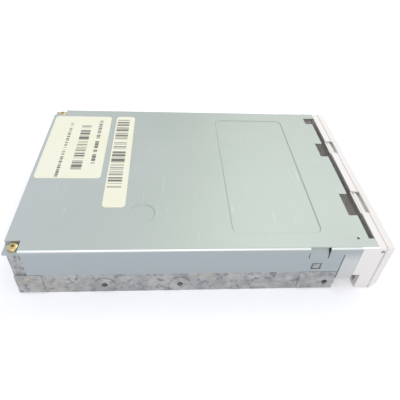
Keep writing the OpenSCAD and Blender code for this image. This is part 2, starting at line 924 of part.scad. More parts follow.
module bezel_cuts() {
  pocket_z = door_z - pocket_drop - door_gap;
  door_half = door_w / 2 + door_room;
  // disk opening through the lip, and the deeper pocket in which the door swings
  block([-door_half, door_half], [y_face - over, y_face + lip_l + over], [door_z - door_gap, door_z + door_h + door_gap]);
  block([-door_half, door_half], [y_face + lip_l, y_cover + over], [pocket_z, drive_h - body_set - bezel_roof_t]);
  // hollow below the shelf
  block([-half_w + return_wall, half_w - return_wall], [y_face + bezel_wall, y_cover + over],
    [body_z + bezel_floor_t, pocket_z - shelf_t]);
  // bores for the door's pins
  rod_x(door_pin_d + 2 * door_pin_gap, [-half_w - over, half_w + over], y_pivot, door_pivot_z);
  // button and light openings
  block([button_x - button_w / 2 - button_gap, button_x + button_w / 2 + button_gap],
    [y_face - over, y_face + bezel_wall + over], [button_z - button_gap, button_z + button_h + button_gap]);
  block([light_x - light_w / 2 - running, light_x + light_w / 2 + running],
    [y_face - over, y_face + bezel_wall + over], [light_z - running, light_z + light_h + running]);
  // slots in the roof
  for (share = bezel_slot_shares)
    block(share * drive_w, [y_cover - slot_depth, y_cover + over],
      [drive_h - body_set - bezel_roof_t - over, drive_h + over]);
}

module front_bezel() {
  color([0.90, 0.88, 0.86]) {
    difference() {
      bezel_shell();
      bezel_cuts();
    }
    bezel_inner();
  }
}

module bezel_shell() {
  bezel_plate();
  block([-half_w + groove, half_w - groove], [y_plate - over, y_plate + 2 * groove],
    [body_z + groove, drive_h - body_set - groove]);
  block([-half_w, half_w], [y_plate + groove, y_cover - bezel_gap], [body_z, drive_h - body_set]);
  both_sides() {
    block([half_w - return_wall, half_w], [y_plate + groove, at(return_at)],
      [return_step_z, cover_in_z - return_top_gap]);
    block([half_w - return_wall, half_w], [y_plate + groove, at(return_low_at)], [body_z, return_step_z + over]);
  }
}

module bezel_inner() {
  pocket_z = door_z - pocket_drop - door_gap;
  block([-half_w + over, half_w - over], [y_plate + groove, at(return_low_at)], [body_z, body_z + bezel_floor_t]);
  both_sides() {
    block([hook_x - hook_w / 2, hook_x + hook_w / 2], [y_face + bezel_wall - over, at(hook_at)],
      [floor_top, floor_top + hook_t]);
    block([hook_x - hook_w / 2, hook_x + hook_w / 2], [at(hook_at) - hook_nub_l, at(hook_at)],
      [floor_top - hook_nub_h, floor_top + over]);
  }
  block([-half_w + return_wall - over, half_w - return_wall + over], [y_face + bezel_wall - over, at(shelf_at)],
    [pocket_z - shelf_t, pocket_z]);
  // thin ribs behind the roof's slots
  for (share = bezel_slot_shares)
    block([share[0] * drive_w - over, share[1] * drive_w + over], [y_cover - bezel_gap - slot_rib_l, y_cover - bezel_gap],
      [drive_h - body_set - bezel_roof_t - over, drive_h - body_set - slot_rib_drop]);
}

// Disk door, turned about the pins at its upper corners
module media_door() {
  color([0.88, 0.86, 0.84]) {
    y_front = y_face + door_set;
    difference() {
      union() {
        block([-door_w / 2, door_w / 2], [y_front, y_front + door_t], [door_z, door_z + door_h]);
        // web from the plate up to the barrel
        block([-door_w / 2, door_w / 2], [y_front + door_t - over / 2, y_pivot],
          [door_pivot_z - door_rib_h, door_pivot_z - fit_gap]);
        rod_x(door_barrel_d, [-door_w / 2, door_w / 2], y_pivot, door_pivot_z);
      }
      // room for the spring at the left end
      block([-door_w / 2 - over, -door_w / 2 + door_spring_w],
        [y_front + door_t, y_pivot + door_barrel_d], [door_z, door_pivot_z + door_barrel_d]);
    }
    rod_x(door_pin_d, [-half_w + return_wall - door_pin_bite, half_w - return_wall + door_pin_bite],
      y_pivot, door_pivot_z);
  }
}

module door_spring() {
  // torsion coil around the left pin, one leg on the door and one under the roof
  outer = door_pin_d + 2 * door_spring_wire + 2 * running;
  x_coil = [-door_w / 2 + slack, -door_w / 2 + door_spring_w - slack];
  color([0.62, 0.63, 0.65]) {
    difference() {
      rod_x(outer, x_coil, y_pivot, door_pivot_z);
      rod_x(door_pin_d + 2 * running, [x_coil[0] - over, x_coil[1] + over], y_pivot, door_pivot_z);
    }
    block([x_coil[0], x_coil[0] + door_spring_wire], [y_pivot, y_pivot + 2 * door_barrel_d],
      [door_pivot_z + outer / 2 - door_spring_wire, door_pivot_z + outer / 2]);
    block([x_coil[1] - door_spring_wire, x_coil[1]], [y_pivot - outer / 2, y_pivot - outer / 2 + door_spring_wire],
      [door_pivot_z - 2 * door_barrel_d, door_pivot_z]);
  }
}

// Eject button, seated on the slide's front tab
module eject_button() {
  y_front = y_face + button_set;
  color([0.85, 0.83, 0.81]) {
    block([button_x - button_w / 2, button_x + button_w / 2], [y_front, y_front + button_cap_l],
      [button_z, button_z + button_h]);
    block([button_x - stem_w / 2, button_x + stem_w / 2], [y_front + button_cap_l - over, at(leg_at)],
      [button_z + (button_h - stem_h) / 2, button_z + (button_h + stem_h) / 2]);
  }
}

module activity_light() {
  color([0.45, 0.75, 0.35])
    block([light_x - light_w / 2, light_x + light_w / 2], [y_face - light_proud + light_seat, y_face + light_l],
      [light_z, light_z + light_h]);
  // leads run down and back under the motor board
  color([0.75, 0.75, 0.75])
    for (side = [-1, 1]) {
      x = light_x + side * light_lead_pitch / 2;
      y_bend = y_face + light_l - light_lead_d;
      z_low = under_room - light_lead_d;
      block([x - light_lead_d / 2, x + light_lead_d / 2], [y_bend, y_bend + light_lead_d], [z_low, light_z + over]);
      block([x - light_lead_d / 2, x + light_lead_d / 2], [y_bend, at(light_lead_at)], [z_low, under_room]);
    }
}

// Disk holder, open at the front and below
module disk_holder() {
  y_front = at(holder_at);
  y_back = y_disk_stop + holder_past;
  color([0.72, 0.74, 0.75])
    difference() {
      union() {
        block([-holder_out, holder_out], [y_front, y_back], [bay_top, holder_top]);
        // tab that lifts the upper arm
        block([window_w / 2, window_w / 2 + tongue_w], [y_back - over, y_back + tongue_l], [bay_top, holder_top]);
        both_sides() {
          block([holder_in, holder_out], [y_front, y_back - 2 * holder_past], [holder_z, holder_top]);
          block([holder_out - lip_w, holder_out], [y_front, y_back - 2 * holder_past], [holder_z, bay_z]);
        }
      }
      // window for the upper arm
      block([-window_w / 2, window_w / 2], [y_spindle + window_from, y_back + over], [bay_top - over, holder_top + over]);
      // curved slot for the lever's pin
      lever_slot();
      // holes for the studs and the rivet
      both_sides()
        for (place = [stud_front_at, stud_rear_at])
          rod_x(stud_d, [holder_in - over, holder_out + over], at(place), stud_z);
      rod_z(rivet_d, lever_x, y_lever, [bay_top - over, holder_top + over]);
    }
}

module lever_slot() {
  slot_r = lever_pin_d / 2 + slack;
  translate([lever_x, y_lever, bay_top - over])
    difference() {
      cylinder(r = lever_r + slot_r, h = plate_t + 2 * over);
      translate([0, 0, -over]) cylinder(r = lever_r - slot_r, h = plate_t + 4 * over);
      // keep only the swept angle
      rotate([0, 0, lever_rest]) translate([-2 * lever_r, -4 * lever_r - slot_r, -over])
        cube([4 * lever_r, 4 * lever_r, plate_t + 4 * over]);
      rotate([0, 0, lever_rest + lever_swing]) translate([-2 * lever_r, slot_r, -over])
        cube([4 * lever_r, 4 * lever_r, plate_t + 4 * over]);
    }
}

module holder_studs() {
  color([0.62, 0.63, 0.65])
    both_sides()
      for (place = [stud_front_at, stud_rear_at])
        rod_x(stud_d, [holder_in, rail_out - slack], at(place), stud_z);
}

// Ejector slide: two side plates joined over the holder
module cam_slot(place) {
  // slanted slot that lowers a stud as the slide goes forward
  d = stud_d + 2 * stud_gap;
  run = norm([slide_travel, lift]);
  for (end = [[0, 0], [slide_travel, -lift]])
    rod_x(d, [slide_in - over, slide_out + over], at(place) + end[0], stud_z + end[1]);
  flat = d * slot_flat_share;
  translate([slide_in - over, at(place), stud_z]) rotate([-atan(lift / slide_travel), 0, 0])
    translate([0, 0, -flat / 2]) cube([plate_t + 2 * over, run, flat]);
}

module slide_side(y_end) {
  difference() {
    block([slide_in, slide_out], [at(slide_at), y_end], [slide_low_z, slide_top]);
    for (place = [stud_front_at, stud_rear_at])
      cam_slot(place);
  }
  // tab for the pull spring, bent in under the holder
  block([slide_in, slide_out], [at(spring_tab_at), at(spring_tab_at + spring_tab_l)],
    [spring_tab_z, slide_low_z + over]);
  difference() {
    block([spring_x - pull_spring_d / 2, slide_out], [at(spring_tab_at), at(spring_tab_at + spring_tab_l)],
      [spring_tab_z, spring_tab_z + plate_t]);
    rod_z(3 * spring_wire, spring_x, at(spring_tab_at) + spring_tab_l / 2,
      [spring_tab_z - over, spring_tab_z + plate_t + over]);
  }
}

module ejector_slide() {
  y_hook = y_lever + lever_tail_r * sin(lever_tail_turn) + lever_tail_w / 2 + latch_slack;
  x_hook = lever_x + lever_tail_r * cos(lever_tail_turn);
  color([0.66, 0.68, 0.70]) {
    slide_side(at(slide_right_end));
    mirror([1, 0, 0]) slide_side(y_hook + latch_tab_l);
    // plate over the holder, open in the middle
    difference() {
      block([-slide_out, slide_out], [at(slide_at), at(slide_at + slide_plate_l)], [slide_z, slide_top]);
      block([-slide_window_w / 2, slide_window_w / 2], [at(slide_window_at), at(slide_at + slide_plate_l) + over],
        [slide_z - over, slide_top + over]);
    }
    // leg down to the button
    block([slide_in, slide_out], [at(leg_at), at(leg_at) + leg_w], [leg_z, slide_top - leg_w / 2]);
    block([slide_in, slide_out], [at(leg_at), at(slide_at) + over], [slide_low_z, slide_top - leg_w / 2]);
    block([leg_tab_in, slide_out], [at(leg_at), at(leg_at) + plate_t], [leg_z, leg_z + leg_tab_h]);
    // tab and hook that the latch lever stops
    block([-slide_out, x_hook + latch_tab_w / 2], [y_hook, y_hook + latch_tab_l], [slide_z, slide_top]);
    block([x_hook - latch_tab_w / 2, x_hook + latch_tab_w / 2], [y_hook, y_hook + plate_t],
      [slide_z - latch_hook_drop, slide_top]);
  }
}

module slide_springs() {
  // pull springs from the frame's posts back to the slide's tabs
  y = [at(spring_post_at) + spring_post_d / 2, at(spring_tab_at)];
  hook_l = 2 * pull_spring_d / 2;
  color([0.60, 0.61, 0.63])
    both_sides() {
      rod_y(pull_spring_d, spring_x, [y[0] + hook_l, y[1] - hook_l], spring_z);
      rod_y(2 * spring_wire, spring_x, [y[0] + running, y[0] + hook_l + over], spring_z);
      rod_y(2 * spring_wire, spring_x, [y[1] - hook_l - over, y[1] + spring_tab_l / 2], spring_z);
      block([spring_x - spring_wire / 2, spring_x + spring_wire / 2],
        [y[1] + spring_tab_l / 2 - spring_wire, y[1] + spring_tab_l / 2], [spring_tab_z, spring_z]);
    }
}

// Latch lever: the disk's leading edge swings its pin, and its tail lets go of the slide
module latch_lever() {
  color([0.86, 0.84, 0.78])
    translate([lever_x, y_lever, lever_z])
      difference() {
        union() {
          cylinder(d = lever_hub_d, h = lever_t);
          rotate([0, 0, lever_rest]) {
            translate([0, -lever_arm_w / 2, 0]) cube([lever_r, lever_arm_w, lever_t]);
            translate([lever_r, 0, 0]) cylinder(d = lever_arm_w, h = lever_t);
            translate([lever_r, 0, -lever_pin_drop]) cylinder(d = lever_pin_d, h = lever_pin_drop + lever_t / 2);
          }
          rotate([0, 0, lever_tail_turn]) {
            translate([0, -lever_tail_w / 2, 0]) cube([lever_tail_r, lever_tail_w, lever_t]);
            translate([lever_tail_r, 0, 0]) cylinder(d = lever_tail_w, h = lever_t);
          }
        }
        translate([0, 0, -over]) cylinder(d = rivet_d + 2 * running, h = lever_t + 2 * over);
      }
}

module latch_rivet() {
  rivet_top = lever_top + lever_spring_h + fit_gap;
  color([0.62, 0.63, 0.65]) {
    rod_z(rivet_d, lever_x, y_lever, [bay_top, rivet_top]);
    rod_z(rivet_head_d, lever_x, y_lever, [rivet_top, rivet_top + rivet_head_h]);
  }
}

module latch_spring() {
  inner = rivet_d + 2 * running;
  outer = inner + 2 * lever_spring_wire;
  z = [lever_top, lever_top + lever_spring_h];
  color([0.60, 0.61, 0.63]) {
    tube_z(outer, inner, lever_x, y_lever, z);
    block([lever_x + inner / 2, lever_x + outer / 2], [y_lever, y_lever + lever_hub_d],
      [lever_top, lever_top + lever_spring_wire]);
    block([lever_x - outer / 2, lever_x - inner / 2], [y_lever - lever_hub_d, y_lever],
      [z[1] - lever_spring_wire, z[1]]);
  }
}

// Head carriage on its two rods
module carriage_solid() {
  y_front = y_head - carriage_front;
  y_back = y_hinge + carriage_back;
  bearing_y = [y_head + bearing_front, y_head + bearing_front + bearing_l];
  nut_y = [y_head + nut_from, y_head + nut_from + nut_l];
  block([-carriage_w / 2, carriage_w / 2], [y_front, y_back], [carriage_z, carriage_top]);
  block([-carriage_w / 2, carriage_w / 2], [y_front, y_front + platform_l], [carriage_z, disk_low_z - platform_gap]);
  block([-block_w / 2, block_w / 2], [y_back - block_l, y_back], [carriage_top - over, arm_z - slack]);
  // long bearing on the left rod
  rod_y(bearing_d, left_rod_x, bearing_y, rod_z);
  block([left_rod_x, -carriage_w / 2 + over], bearing_y, [carriage_z + over, carriage_top - over]);
  // fork over the right rod
  block([carriage_w / 2 - over, right_rod_x + rod_d], [y_head + fork_from, y_head + fork_from + fork_l],
    [carriage_z, carriage_top]);
  // arm over the right rod to the lead screw
  block([carriage_w / 2 - over, screw_x_centre + nut_w / 2], nut_y, [nut_top - nut_arm_t, nut_top]);
  block([carriage_w / 2 - over, carriage_w / 2 + fit_gap], nut_y, [carriage_z, nut_top]);
  block([screw_x_centre - nut_w / 2, screw_x_centre + nut_w / 2], nut_y, [nut_z, nut_top]);
  // flag for the track-zero sensor
  block([sensor_x - flag_t / 2, left_rod_x], [bearing_y[1] - flag_l, bearing_y[1] - flag_l + flag_arm_l],
    [flag_z, flag_z + flag_h / 2]);
  block([sensor_x - flag_t / 2, sensor_x + flag_t / 2], [bearing_y[1] - flag_l, bearing_y[1]],
    [flag_z, flag_z + flag_h]);
}

module head_carriage() {
  y = [y_head - carriage_front - over, y_hinge + carriage_back + over];
  color([0.25, 0.26, 0.28])
    difference() {
      carriage_solid();
      rod_y(rod_d + 2 * running, left_rod_x, y, rod_z);
      // the fork is open toward the side
      block([right_rod_x - rod_d / 2 - running, right_rod_x + rod_d + over],
        [y_head + fork_from - over, y_head + fork_from + fork_l + over],
        [rod_z - rod_d / 2 - running, rod_z + rod_d / 2 + running]);
      rod_y(screw_d + 2 * running, screw_x_centre, y, screw_z);
    }
}

module lower_head() {
  color([0.20, 0.20, 0.22])
    block([-head_w / 2, head_w / 2], [y_head - head_l / 2, y_head + head_l / 2],
      [disk_low_z - platform_gap, media_z - head_gap]);
}

// The arm is drawn level, as with a disk in, then turned up about its hinge
module arm_pose() {
  translate([0, y_hinge, arm_z]) rotate([-arm_up, 0, 0]) translate([0, -y_hinge, -arm_z]) children();
}

module upper_arm() {
  y_tip = y_head - arm_over;
  y_nub = y_hinge - nub_r;
  color([0.28, 0.29, 0.31])
    arm_pose() {
      block([-arm_w / 2, arm_w / 2], [y_tip, y_hinge], [arm_z, arm_z + arm_t]);
      // ear that rides on the holder's tab
      block([arm_w / 2 - over, arm_w / 2 + nub_reach], [y_nub - nub_l / 2, y_nub + nub_l / 2],
        [arm_z + nub_rise, arm_z + arm_t]);
    }
}

module upper_head() {
  color([0.20, 0.20, 0.22])
    arm_pose()
      block([-head_w / 2, head_w / 2], [y_head - head_l / 2, y_head + head_l / 2], [media_z + head_gap, arm_z]);
}

module arm_hinge_leaf() {
  color([0.62, 0.63, 0.65])
    block([-leaf_w / 2, leaf_w / 2], [y_hinge + carriage_back - block_l, y_hinge + carriage_back],
      [arm_z - slack, arm_z - slack + leaf_t]);
}

module guide_rods() {
  color([0.74, 0.75, 0.77]) {
    rod_y(rod_d, left_rod_x, [at(rod_front_at), at(left_rod_end)], rod_z);
    rod_y(rod_d, right_rod_x, [at(rod_front_at), at(right_rod_end)], rod_z);
  }
}

// Stepper motor lying along the drive, on its bent bracket
module stepper_bracket() {
  x = [screw_x_centre - bracket_w / 2, screw_x_centre + bracket_w / 2];
  color([0.70, 0.71, 0.73])
    difference() {
      union() {
        block([screw_x_centre - upright_w / 2 + slack, x[1]], [at(bracket_at), at(motor_at)],
          [floor_top, floor_top + bracket_t]);
        block([screw_x_centre - upright_w / 2, screw_x_centre + upright_w / 2],
          [at(bracket_at), at(bracket_at) + bracket_t], [floor_top, bracket_front_z]);
        block(x, [at(motor_at) - bracket_t, at(motor_at)], [floor_top, bracket_rear_top]);
      }
      rod_y(screw_d + 2 * running, screw_x_centre, [at(bracket_at) - over, at(bracket_at) + bracket_t + over], screw_z);
      rod_y(shaft_hole_d, screw_x_centre, [at(motor_at) - bracket_t - over, at(motor_at) + over], screw_z);
      for (y = [at(bracket_at) + bracket_screw_in, at(motor_at) - bracket_screw_in])
        rod_z(screw_hole_d, bracket_screw_x, y, [floor_top - over, floor_top + bracket_t + over]);
    }
}

module stepper_can() {
  y = [at(motor_at), at(motor_at) + stepper_l];
  color([0.74, 0.75, 0.76])
    difference() {
      rod_y(stepper_d, screw_x_centre, y, screw_z);
      rod_y(stepper_d - 2 * can_t, screw_x_centre, [y[0] + can_t, y[1] - can_t], screw_z);
      rod_y(shaft_hole_d, screw_x_centre, [y[0] - over, y[0] + can_t + over], screw_z);
    }
}

module stepper_stator() {
  y = [at(motor_at) + can_t, at(motor_at) + stepper_l - can_t];
  color([0.60, 0.40, 0.22])
    difference() {
      rod_y(stepper_d - 2 * can_t, screw_x_centre, y, screw_z);
      rod_y(stepper_rotor_d + 2 * stepper_rotor_gap, screw_x_centre, [y[0] - over, y[1] + over], screw_z);
    }
}

module lead_screw() {
  color([0.68, 0.69, 0.71])
    rod_y(screw_d, screw_x_centre, [at(bracket_at), at(motor_at) + stepper_l - can_t - slack], screw_z);
}

module stepper_rotor() {
  y = [at(motor_at) + can_t + stepper_inset, at(motor_at) + stepper_l - can_t - stepper_inset];
  color([0.30, 0.30, 0.31])
    difference() {
      rod_y(stepper_rotor_d, screw_x_centre, y, screw_z);
      rod_y(screw_d, screw_x_centre, [y[0] - over, y[1] + over], screw_z);
    }
}

// Spindle motor
module motor_board() {
  z = [under_room, floor_z];
  y_front = at(board_front_at);
  color([0.16, 0.36, 0.22])
    difference() {
      union() {
        block([-board_strip_w / 2, board_strip_w / 2], [y_front, y_front + board_strip_l], z);
        block([-motor_board_w / 2, motor_board_w / 2], [y_front, at(motor_board_end)], z);
      }
      for (x = [-motor_screw_x, motor_screw_x])
        for (place = motor_screws_at)
          rod_z(screw_hole_d, x, at(place), [z[0] - over, z[1] + over]);
    }
}

// Square chip hanging under a board, with rows of leads on four sides
module chip(x, y, w) {
  pitch = w / (lead_n + 1);
  translate([x, y, 0]) {
    block([-w / 2, w / 2], [-w / 2, w / 2], [under_room - chip_t - lead_t, under_room - lead_t]);
    for (turn = [0, 90, 180, 270])
      rotate([0, 0, turn])
        for (i = [1 : lead_n])
          translate([w / 2 - over, i * pitch - w / 2 - pitch * lead_share / 2, under_room - lead_t])
            cube([lead_reach + over, pitch * lead_share, lead_t]);
  }
}

module motor_chips() {
  motor_chip_shares = [[-0.5, 0.62], [0.45, 0.2]];
  color([0.15, 0.15, 0.16])
    for (share = motor_chip_shares)
      chip(share[0] * motor_board_w / 2, y_spindle + share[1] * motor_board_w / 2, motor_chip);
}

module spindle_bearing() {
  z_top = rotor_top - rotor_t - slack;
  color([0.80, 0.66, 0.35])
    difference() {
      union() {
        rod_z(sleeve_d, 0, y_spindle, [floor_z, z_top]);
        rod_z(sleeve_flange_d, 0, y_spindle, [floor_z, floor_z + core_lift]);
      }
      rod_z(shaft_d + 2 * bearing_hole, 0, y_spindle, [floor_z - over, z_top + over]);
    }
}

magnet_outer = rotor_d - 2 * rotor_t;
magnet_inner = magnet_outer - 2 * magnet_t;
core_outer = magnet_inner - 2 * rotor_air;
core_z = [floor_z + core_lift, floor_z + core_lift + core_h];

module stator_core() {
  color([0.45, 0.46, 0.48])
    difference() {
      union() {
        rod_z(core_yoke_d, 0, y_spindle, core_z);
        translate([0, y_spindle, core_z[0]])
          for (i = [0 : teeth - 1])
            rotate([0, 0, i * 360 / teeth]) {
              translate([0, -tooth_w / 2, 0]) cube([core_outer / 2 - shoe_l / 2, tooth_w, core_h]);
              intersection() {
                translate([core_outer / 2 - shoe_l - over, -shoe_w / 2, 0]) cube([2 * shoe_l, shoe_w, core_h]);
                difference() {
                  cylinder(d = core_outer, h = core_h);
                  translate([0, 0, -over]) cylinder(d = core_outer - 2 * shoe_l, h = core_h + 2 * over);
                }
              }
            }
      }
      rod_z(sleeve_d, 0, y_spindle, [core_z[0] - over, core_z[1] + over]);
    }
}

module stator_coils() {
  color([0.72, 0.40, 0.20])
    translate([0, y_spindle, 0])
      for (i = [0 : teeth - 1])
        rotate([0, 0, i * 360 / teeth])
          difference() {
            block([coil_from, coil_from + coil_l], [-tooth_w / 2 - coil_grow, tooth_w / 2 + coil_grow],
              [core_z[0] - coil_grow / 2, core_z[1] + coil_grow / 2]);
            block([coil_from - over, coil_from + coil_l + over], [-tooth_w / 2, tooth_w / 2], core_z);
          }
}

module rotor_cup() {
  color([0.74, 0.75, 0.76])
    difference() {
      rod_z(rotor_d, 0, y_spindle, [rotor_z, rotor_top]);
      rod_z(rotor_d - 2 * rotor_t, 0, y_spindle, [rotor_z - over, rotor_top - rotor_t]);
      rod_z(shaft_d, 0, y_spindle, [rotor_top - rotor_t - over, rotor_top + over]);
    }
}

module rotor_magnet() {
  color([0.24, 0.24, 0.25])
    tube_z(magnet_outer, magnet_inner, 0, y_spindle, [rotor_z + magnet_set, rotor_top - rotor_t]);
}

module spindle_shaft() {
  color([0.78, 0.79, 0.81])
    rod_z(shaft_d, 0, y_spindle, [floor_z + fit_gap, hub_top + shaft_tip]);
}

module spindle_hub() {
  color([0.70, 0.71, 0.73])
    difference() {
      rod_z(hub_d, 0, y_spindle, [rotor_top, hub_top]);
      rod_z(shaft_d, 0, y_spindle, [rotor_top - over, hub_top + over]);
      rod_z(drive_pin_d + 2 * running, drive_pin_r, y_spindle, [rotor_top + slack, hub_top + over]);
    }
}

module drive_pin() {
  color([0.55, 0.56, 0.58])
    rod_z(drive_pin_d, drive_pin_r, y_spindle,
      [rotor_top + slack + drive_pin_travel + running, hub_top + drive_pin_h]);
}

// Controller board with the connectors at its rear edge
module controller_board() {
  z = [under_room, floor_z];
  y_back = y_rear - controller_end_set;
  color([0.16, 0.36, 0.22])
    difference() {
      union() {
        block([-board_strip_w / 2, controller_split_x], [at(controller_at), y_back], z);
        block([-board_strip_w / 2, board_strip_w / 2], [y_back - controller_strip_l, y_back], z);
      }
      for (place = controller_screws)
        rod_z(screw_hole_d, place[0], place[1], [z[0] - over, z[1] + over]);
    }
}

module controller_chips() {
  big_share = [-0.45, 0.45];
  small_share = [-0.82, 0.5];
  color([0.15, 0.15, 0.16]) {
    chip(big_share[0] * board_strip_w / 2, at(controller_at) + big_share[1] * controller_l, big_chip);
    chip(small_share[0] * board_strip_w / 2, at(controller_at) + small_share[1] * controller_l, motor_chip / 2);
  }
}

module board_capacitors() {
  color([0.20, 0.22, 0.26])
    for (share = capacitor_shares)
      rod_z(capacitor_d, share[0] * board_strip_w / 2, at(controller_at) + share[1] * controller_l,
        [floor_z, floor_z + capacitor_h]);
}

module data_connector() {
  y = [y_rear - connector_l, y_rear];
  z_mid = floor_z + data_h / 2;
  color([0.12, 0.12, 0.13])
    difference() {
      block([data_x - data_w / 2, data_x + data_w / 2], y, [floor_z, floor_z + data_h]);
      block([data_x - data_w / 2 + data_wall / 2, data_x + data_w / 2 - data_wall / 2],
        [y[1] - data_cavity_l, y[1] + over], [z_mid - data_cavity_h / 2, z_mid + data_cavity_h / 2]);
      // key notch in the upper wall
      block([data_x - data_key_w / 2, data_x + data_key_w / 2], [y[1] - data_cavity_l, y[1] + over],
        [z_mid, floor_z + data_h + over]);
    }
}

module data_pins() {
  y = [y_rear - data_cavity_l, y_rear - data_cavity_l + data_pin_l];
  z_mid = floor_z + data_h / 2;
  color([0.83, 0.70, 0.38])
    for (i = [0 : data_columns - 1])
      for (row = [-0.5, 0.5]) {
        x = data_x + (i - (data_columns - 1) / 2) * data_pitch;
        z = z_mid + row * data_pitch;
        block([x - data_pin_t / 2, x + data_pin_t / 2], y, [z - data_pin_t / 2, z + data_pin_t / 2]);
      }
}

module power_connector() {
  y = [y_rear - connector_l, y_rear];
  color([0.93, 0.92, 0.88])
    difference() {
      block([power_x - power_w / 2, power_x + power_w / 2], y, [floor_z, floor_z + power_h]);
      block([power_x - power_w / 2 + power_wall / 2, power_x + power_w / 2 - power_wall / 2],
        [y[1] - power_cavity_l, y[1] + over], [floor_z + power_wall / 2, floor_z + power_h + over]);
    }
}

module power_pins() {
  z = floor_z + power_h / 2;
  color([0.80, 0.80, 0.78])
    for (i = [0 : power_pins_n - 1]) {
      x = power_x + (i - (power_pins_n - 1) / 2) * power_pitch;
      block([x - power_pin_t / 2, x + power_pin_t / 2], [y_rear - power_cavity_l, y_rear - slack],
        [z - power_pin_t / 2, z + power_pin_t / 2]);
    }
}

// Switches that feel the disk's corners
switch_top = floor_top + switch_h;
plunger_z = [switch_top - plunger_travel, disk_low_z + plunger_up];

module switch_bodies() {
  color([0.14, 0.14, 0.15])
    for (x = switches_x) {
      difference() {
        block([x - switch_w / 2, x + switch_w / 2], [at(switch_at) - switch_w / 2, at(switch_at) + switch_w / 2],
          [floor_top, switch_top]);
        rod_z(plunger_d + 2 * plunger_gap, x, at(switch_at),
          [plunger_z[0] - plunger_travel - slack, switch_top + over]);
      }
      for (side = [-1, 1])
        rod_z(switch_pin_d, x + side * switch_pin_d, at(switch_at), [floor_z, floor_top]);
    }
}

module plunger(x) {
  color([0.90, 0.90, 0.88]) rod_z(plunger_d, x, at(switch_at), plunger_z);
}

module write_protect_plunger() { plunger(switches_x[0]); }
module disk_in_plunger() { plunger(switches_x[1]); }
module density_plunger() { plunger(switches_x[2]); }

module track_zero_sensor() {
  y = [at(sensor_at), at(sensor_at) + sensor_l];
  tower = (sensor_w - sensor_gap) / 2;
  color([0.13, 0.13, 0.14]) {
    block([sensor_x - sensor_w / 2, sensor_x + sensor_w / 2], y, [floor_top, floor_top + sensor_base_h]);
    for (side = [-1, 1])
      translate([sensor_x + side * (sensor_gap + tower) / 2, 0, 0])
        block([-tower / 2, tower / 2], y, [floor_top, floor_top + sensor_h]);
  }
}

// Bend of the flat cable about a line across the drive: a half turn on top, or a quarter low down
module film_bend(x, y, z, r, over) {
  translate([x[0], y, z]) rotate([90, 0, 90])
    linear_extrude(x[1] - x[0])
      intersection() {
        difference() {
          circle(r = r + flex_t / 2);
          circle(r = r - flex_t / 2);
        }
        translate(over ? [-2 * r, 0] : [0, -2 * r]) square([over ? 4 * r : 2 * r, 2 * r]);
      }
}

// Flat cable that arches up from the carriage and turns down behind the floor into its socket.
// Its legs are as long as the head's travel needs.
module head_flex_cable() {
  x = [-flex_w / 2 - slack, flex_w / 2 - slack];
  half_t = flex_t / 2;
  y_start = y_hinge + carriage_back + flex_t;
  y_end = at(flex_end_at);
  y_up = y_start + flex_bend_r;
  y_down = y_end + flex_bend_r;
  arch_r = (y_down - y_up) / 2;
  z_start = flex_z - half_t;
  z_end = floor_z + socket_h / 2 - half_t;
  legs = head_travel - (PI - 2) * arch_r;
  z_arch = (legs + z_start + z_end) / 2 + flex_bend_r;
  color([0.78, 0.52, 0.20]) {
    block(x, [y_start - flex_t, y_start], [z_start - half_t, z_start + half_t]);
    film_bend(x, y_start, z_start + flex_bend_r, flex_bend_r, false);
    block(x, [y_up - half_t, y_up + half_t], [z_start + flex_bend_r, z_arch]);
    film_bend(x, y_up + arch_r, z_arch, arch_r, true);
    block(x, [y_down - half_t, y_down + half_t], [z_end + flex_bend_r, z_arch]);
    film_bend(x, y_end, z_end + flex_bend_r, flex_bend_r, false);
    block(x, [y_end - flex_t, y_end], [z_end - half_t, z_end + half_t]);
  }
}

module flex_socket() {
  x = [-socket_w / 2 - slack, socket_w / 2 - slack];
  y_bend = at(flex_end_at);
  color([0.92, 0.91, 0.87])
    block(x, [y_bend - flex_t - socket_l, y_bend - flex_t], [floor_z, floor_z + socket_h]);
}

// Fasteners
module board_screws() {
  color([0.75, 0.76, 0.78]) {
    for (x = [-motor_screw_x, motor_screw_x])
      for (place = motor_screws_at)
        board_screw(x, at(place));
    for (place = controller_screws)
      board_screw(place[0], place[1]);
  }
}

module board_screw(x, y) {
  rod_z(screw_head_d, x, y, [under_room - screw_head_h, under_room]);
  rod_z(screw_shank_d, x, y, [under_room - screw_head_h / 2, under_room + board_screw_l]);
}

module bracket_screws() {
  z = floor_top + bracket_t;
  color([0.75, 0.76, 0.78])
    for (y = [at(bracket_at) + bracket_screw_in, at(motor_at) - bracket_screw_in]) {
      rod_z(screw_head_d, bracket_screw_x, y, [z, z + screw_head_h]);
      rod_z(screw_shank_d, bracket_screw_x, y, [floor_z + slack, z + screw_head_h / 2]);
    }
}

chassis_frame();
top_cover();
cover_screws();
label_main();
label_strip();
front_bezel();
media_door();
door_spring();
eject_button();
activity_light();
disk_holder();
holder_studs();
ejector_slide();
slide_springs();
latch_lever();
latch_rivet();
latch_spring();
head_carriage();
lower_head();
upper_arm();
upper_head();
arm_hinge_leaf();
guide_rods();
stepper_bracket();
stepper_can();
stepper_stator();
lead_screw();
stepper_rotor();
motor_board();
motor_chips();
spindle_bearing();
stator_core();
stator_coils();
rotor_cup();
rotor_magnet();
spindle_shaft();
spindle_hub();
drive_pin();
controller_board();
controller_chips();
board_capacitors();
data_connector();
data_pins();
power_connector();
power_pins();
switch_bodies();
write_protect_plunger();
density_plunger();
disk_in_plunger();
track_zero_sensor();
head_flex_cable();
flex_socket();
board_screws();
bracket_screws();
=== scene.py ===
# %% [markdown]
# # A floppy disk drive, dressed for the eye
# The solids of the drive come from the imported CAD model, each in its real place and in metres.
# This notebook gives each a real finish, rebuilds the pieces that plain solids can't show, such as
# springs, screws and a threaded rod, and sets up a plain studio round them.

# %% Load the frame
import json
import math
import random

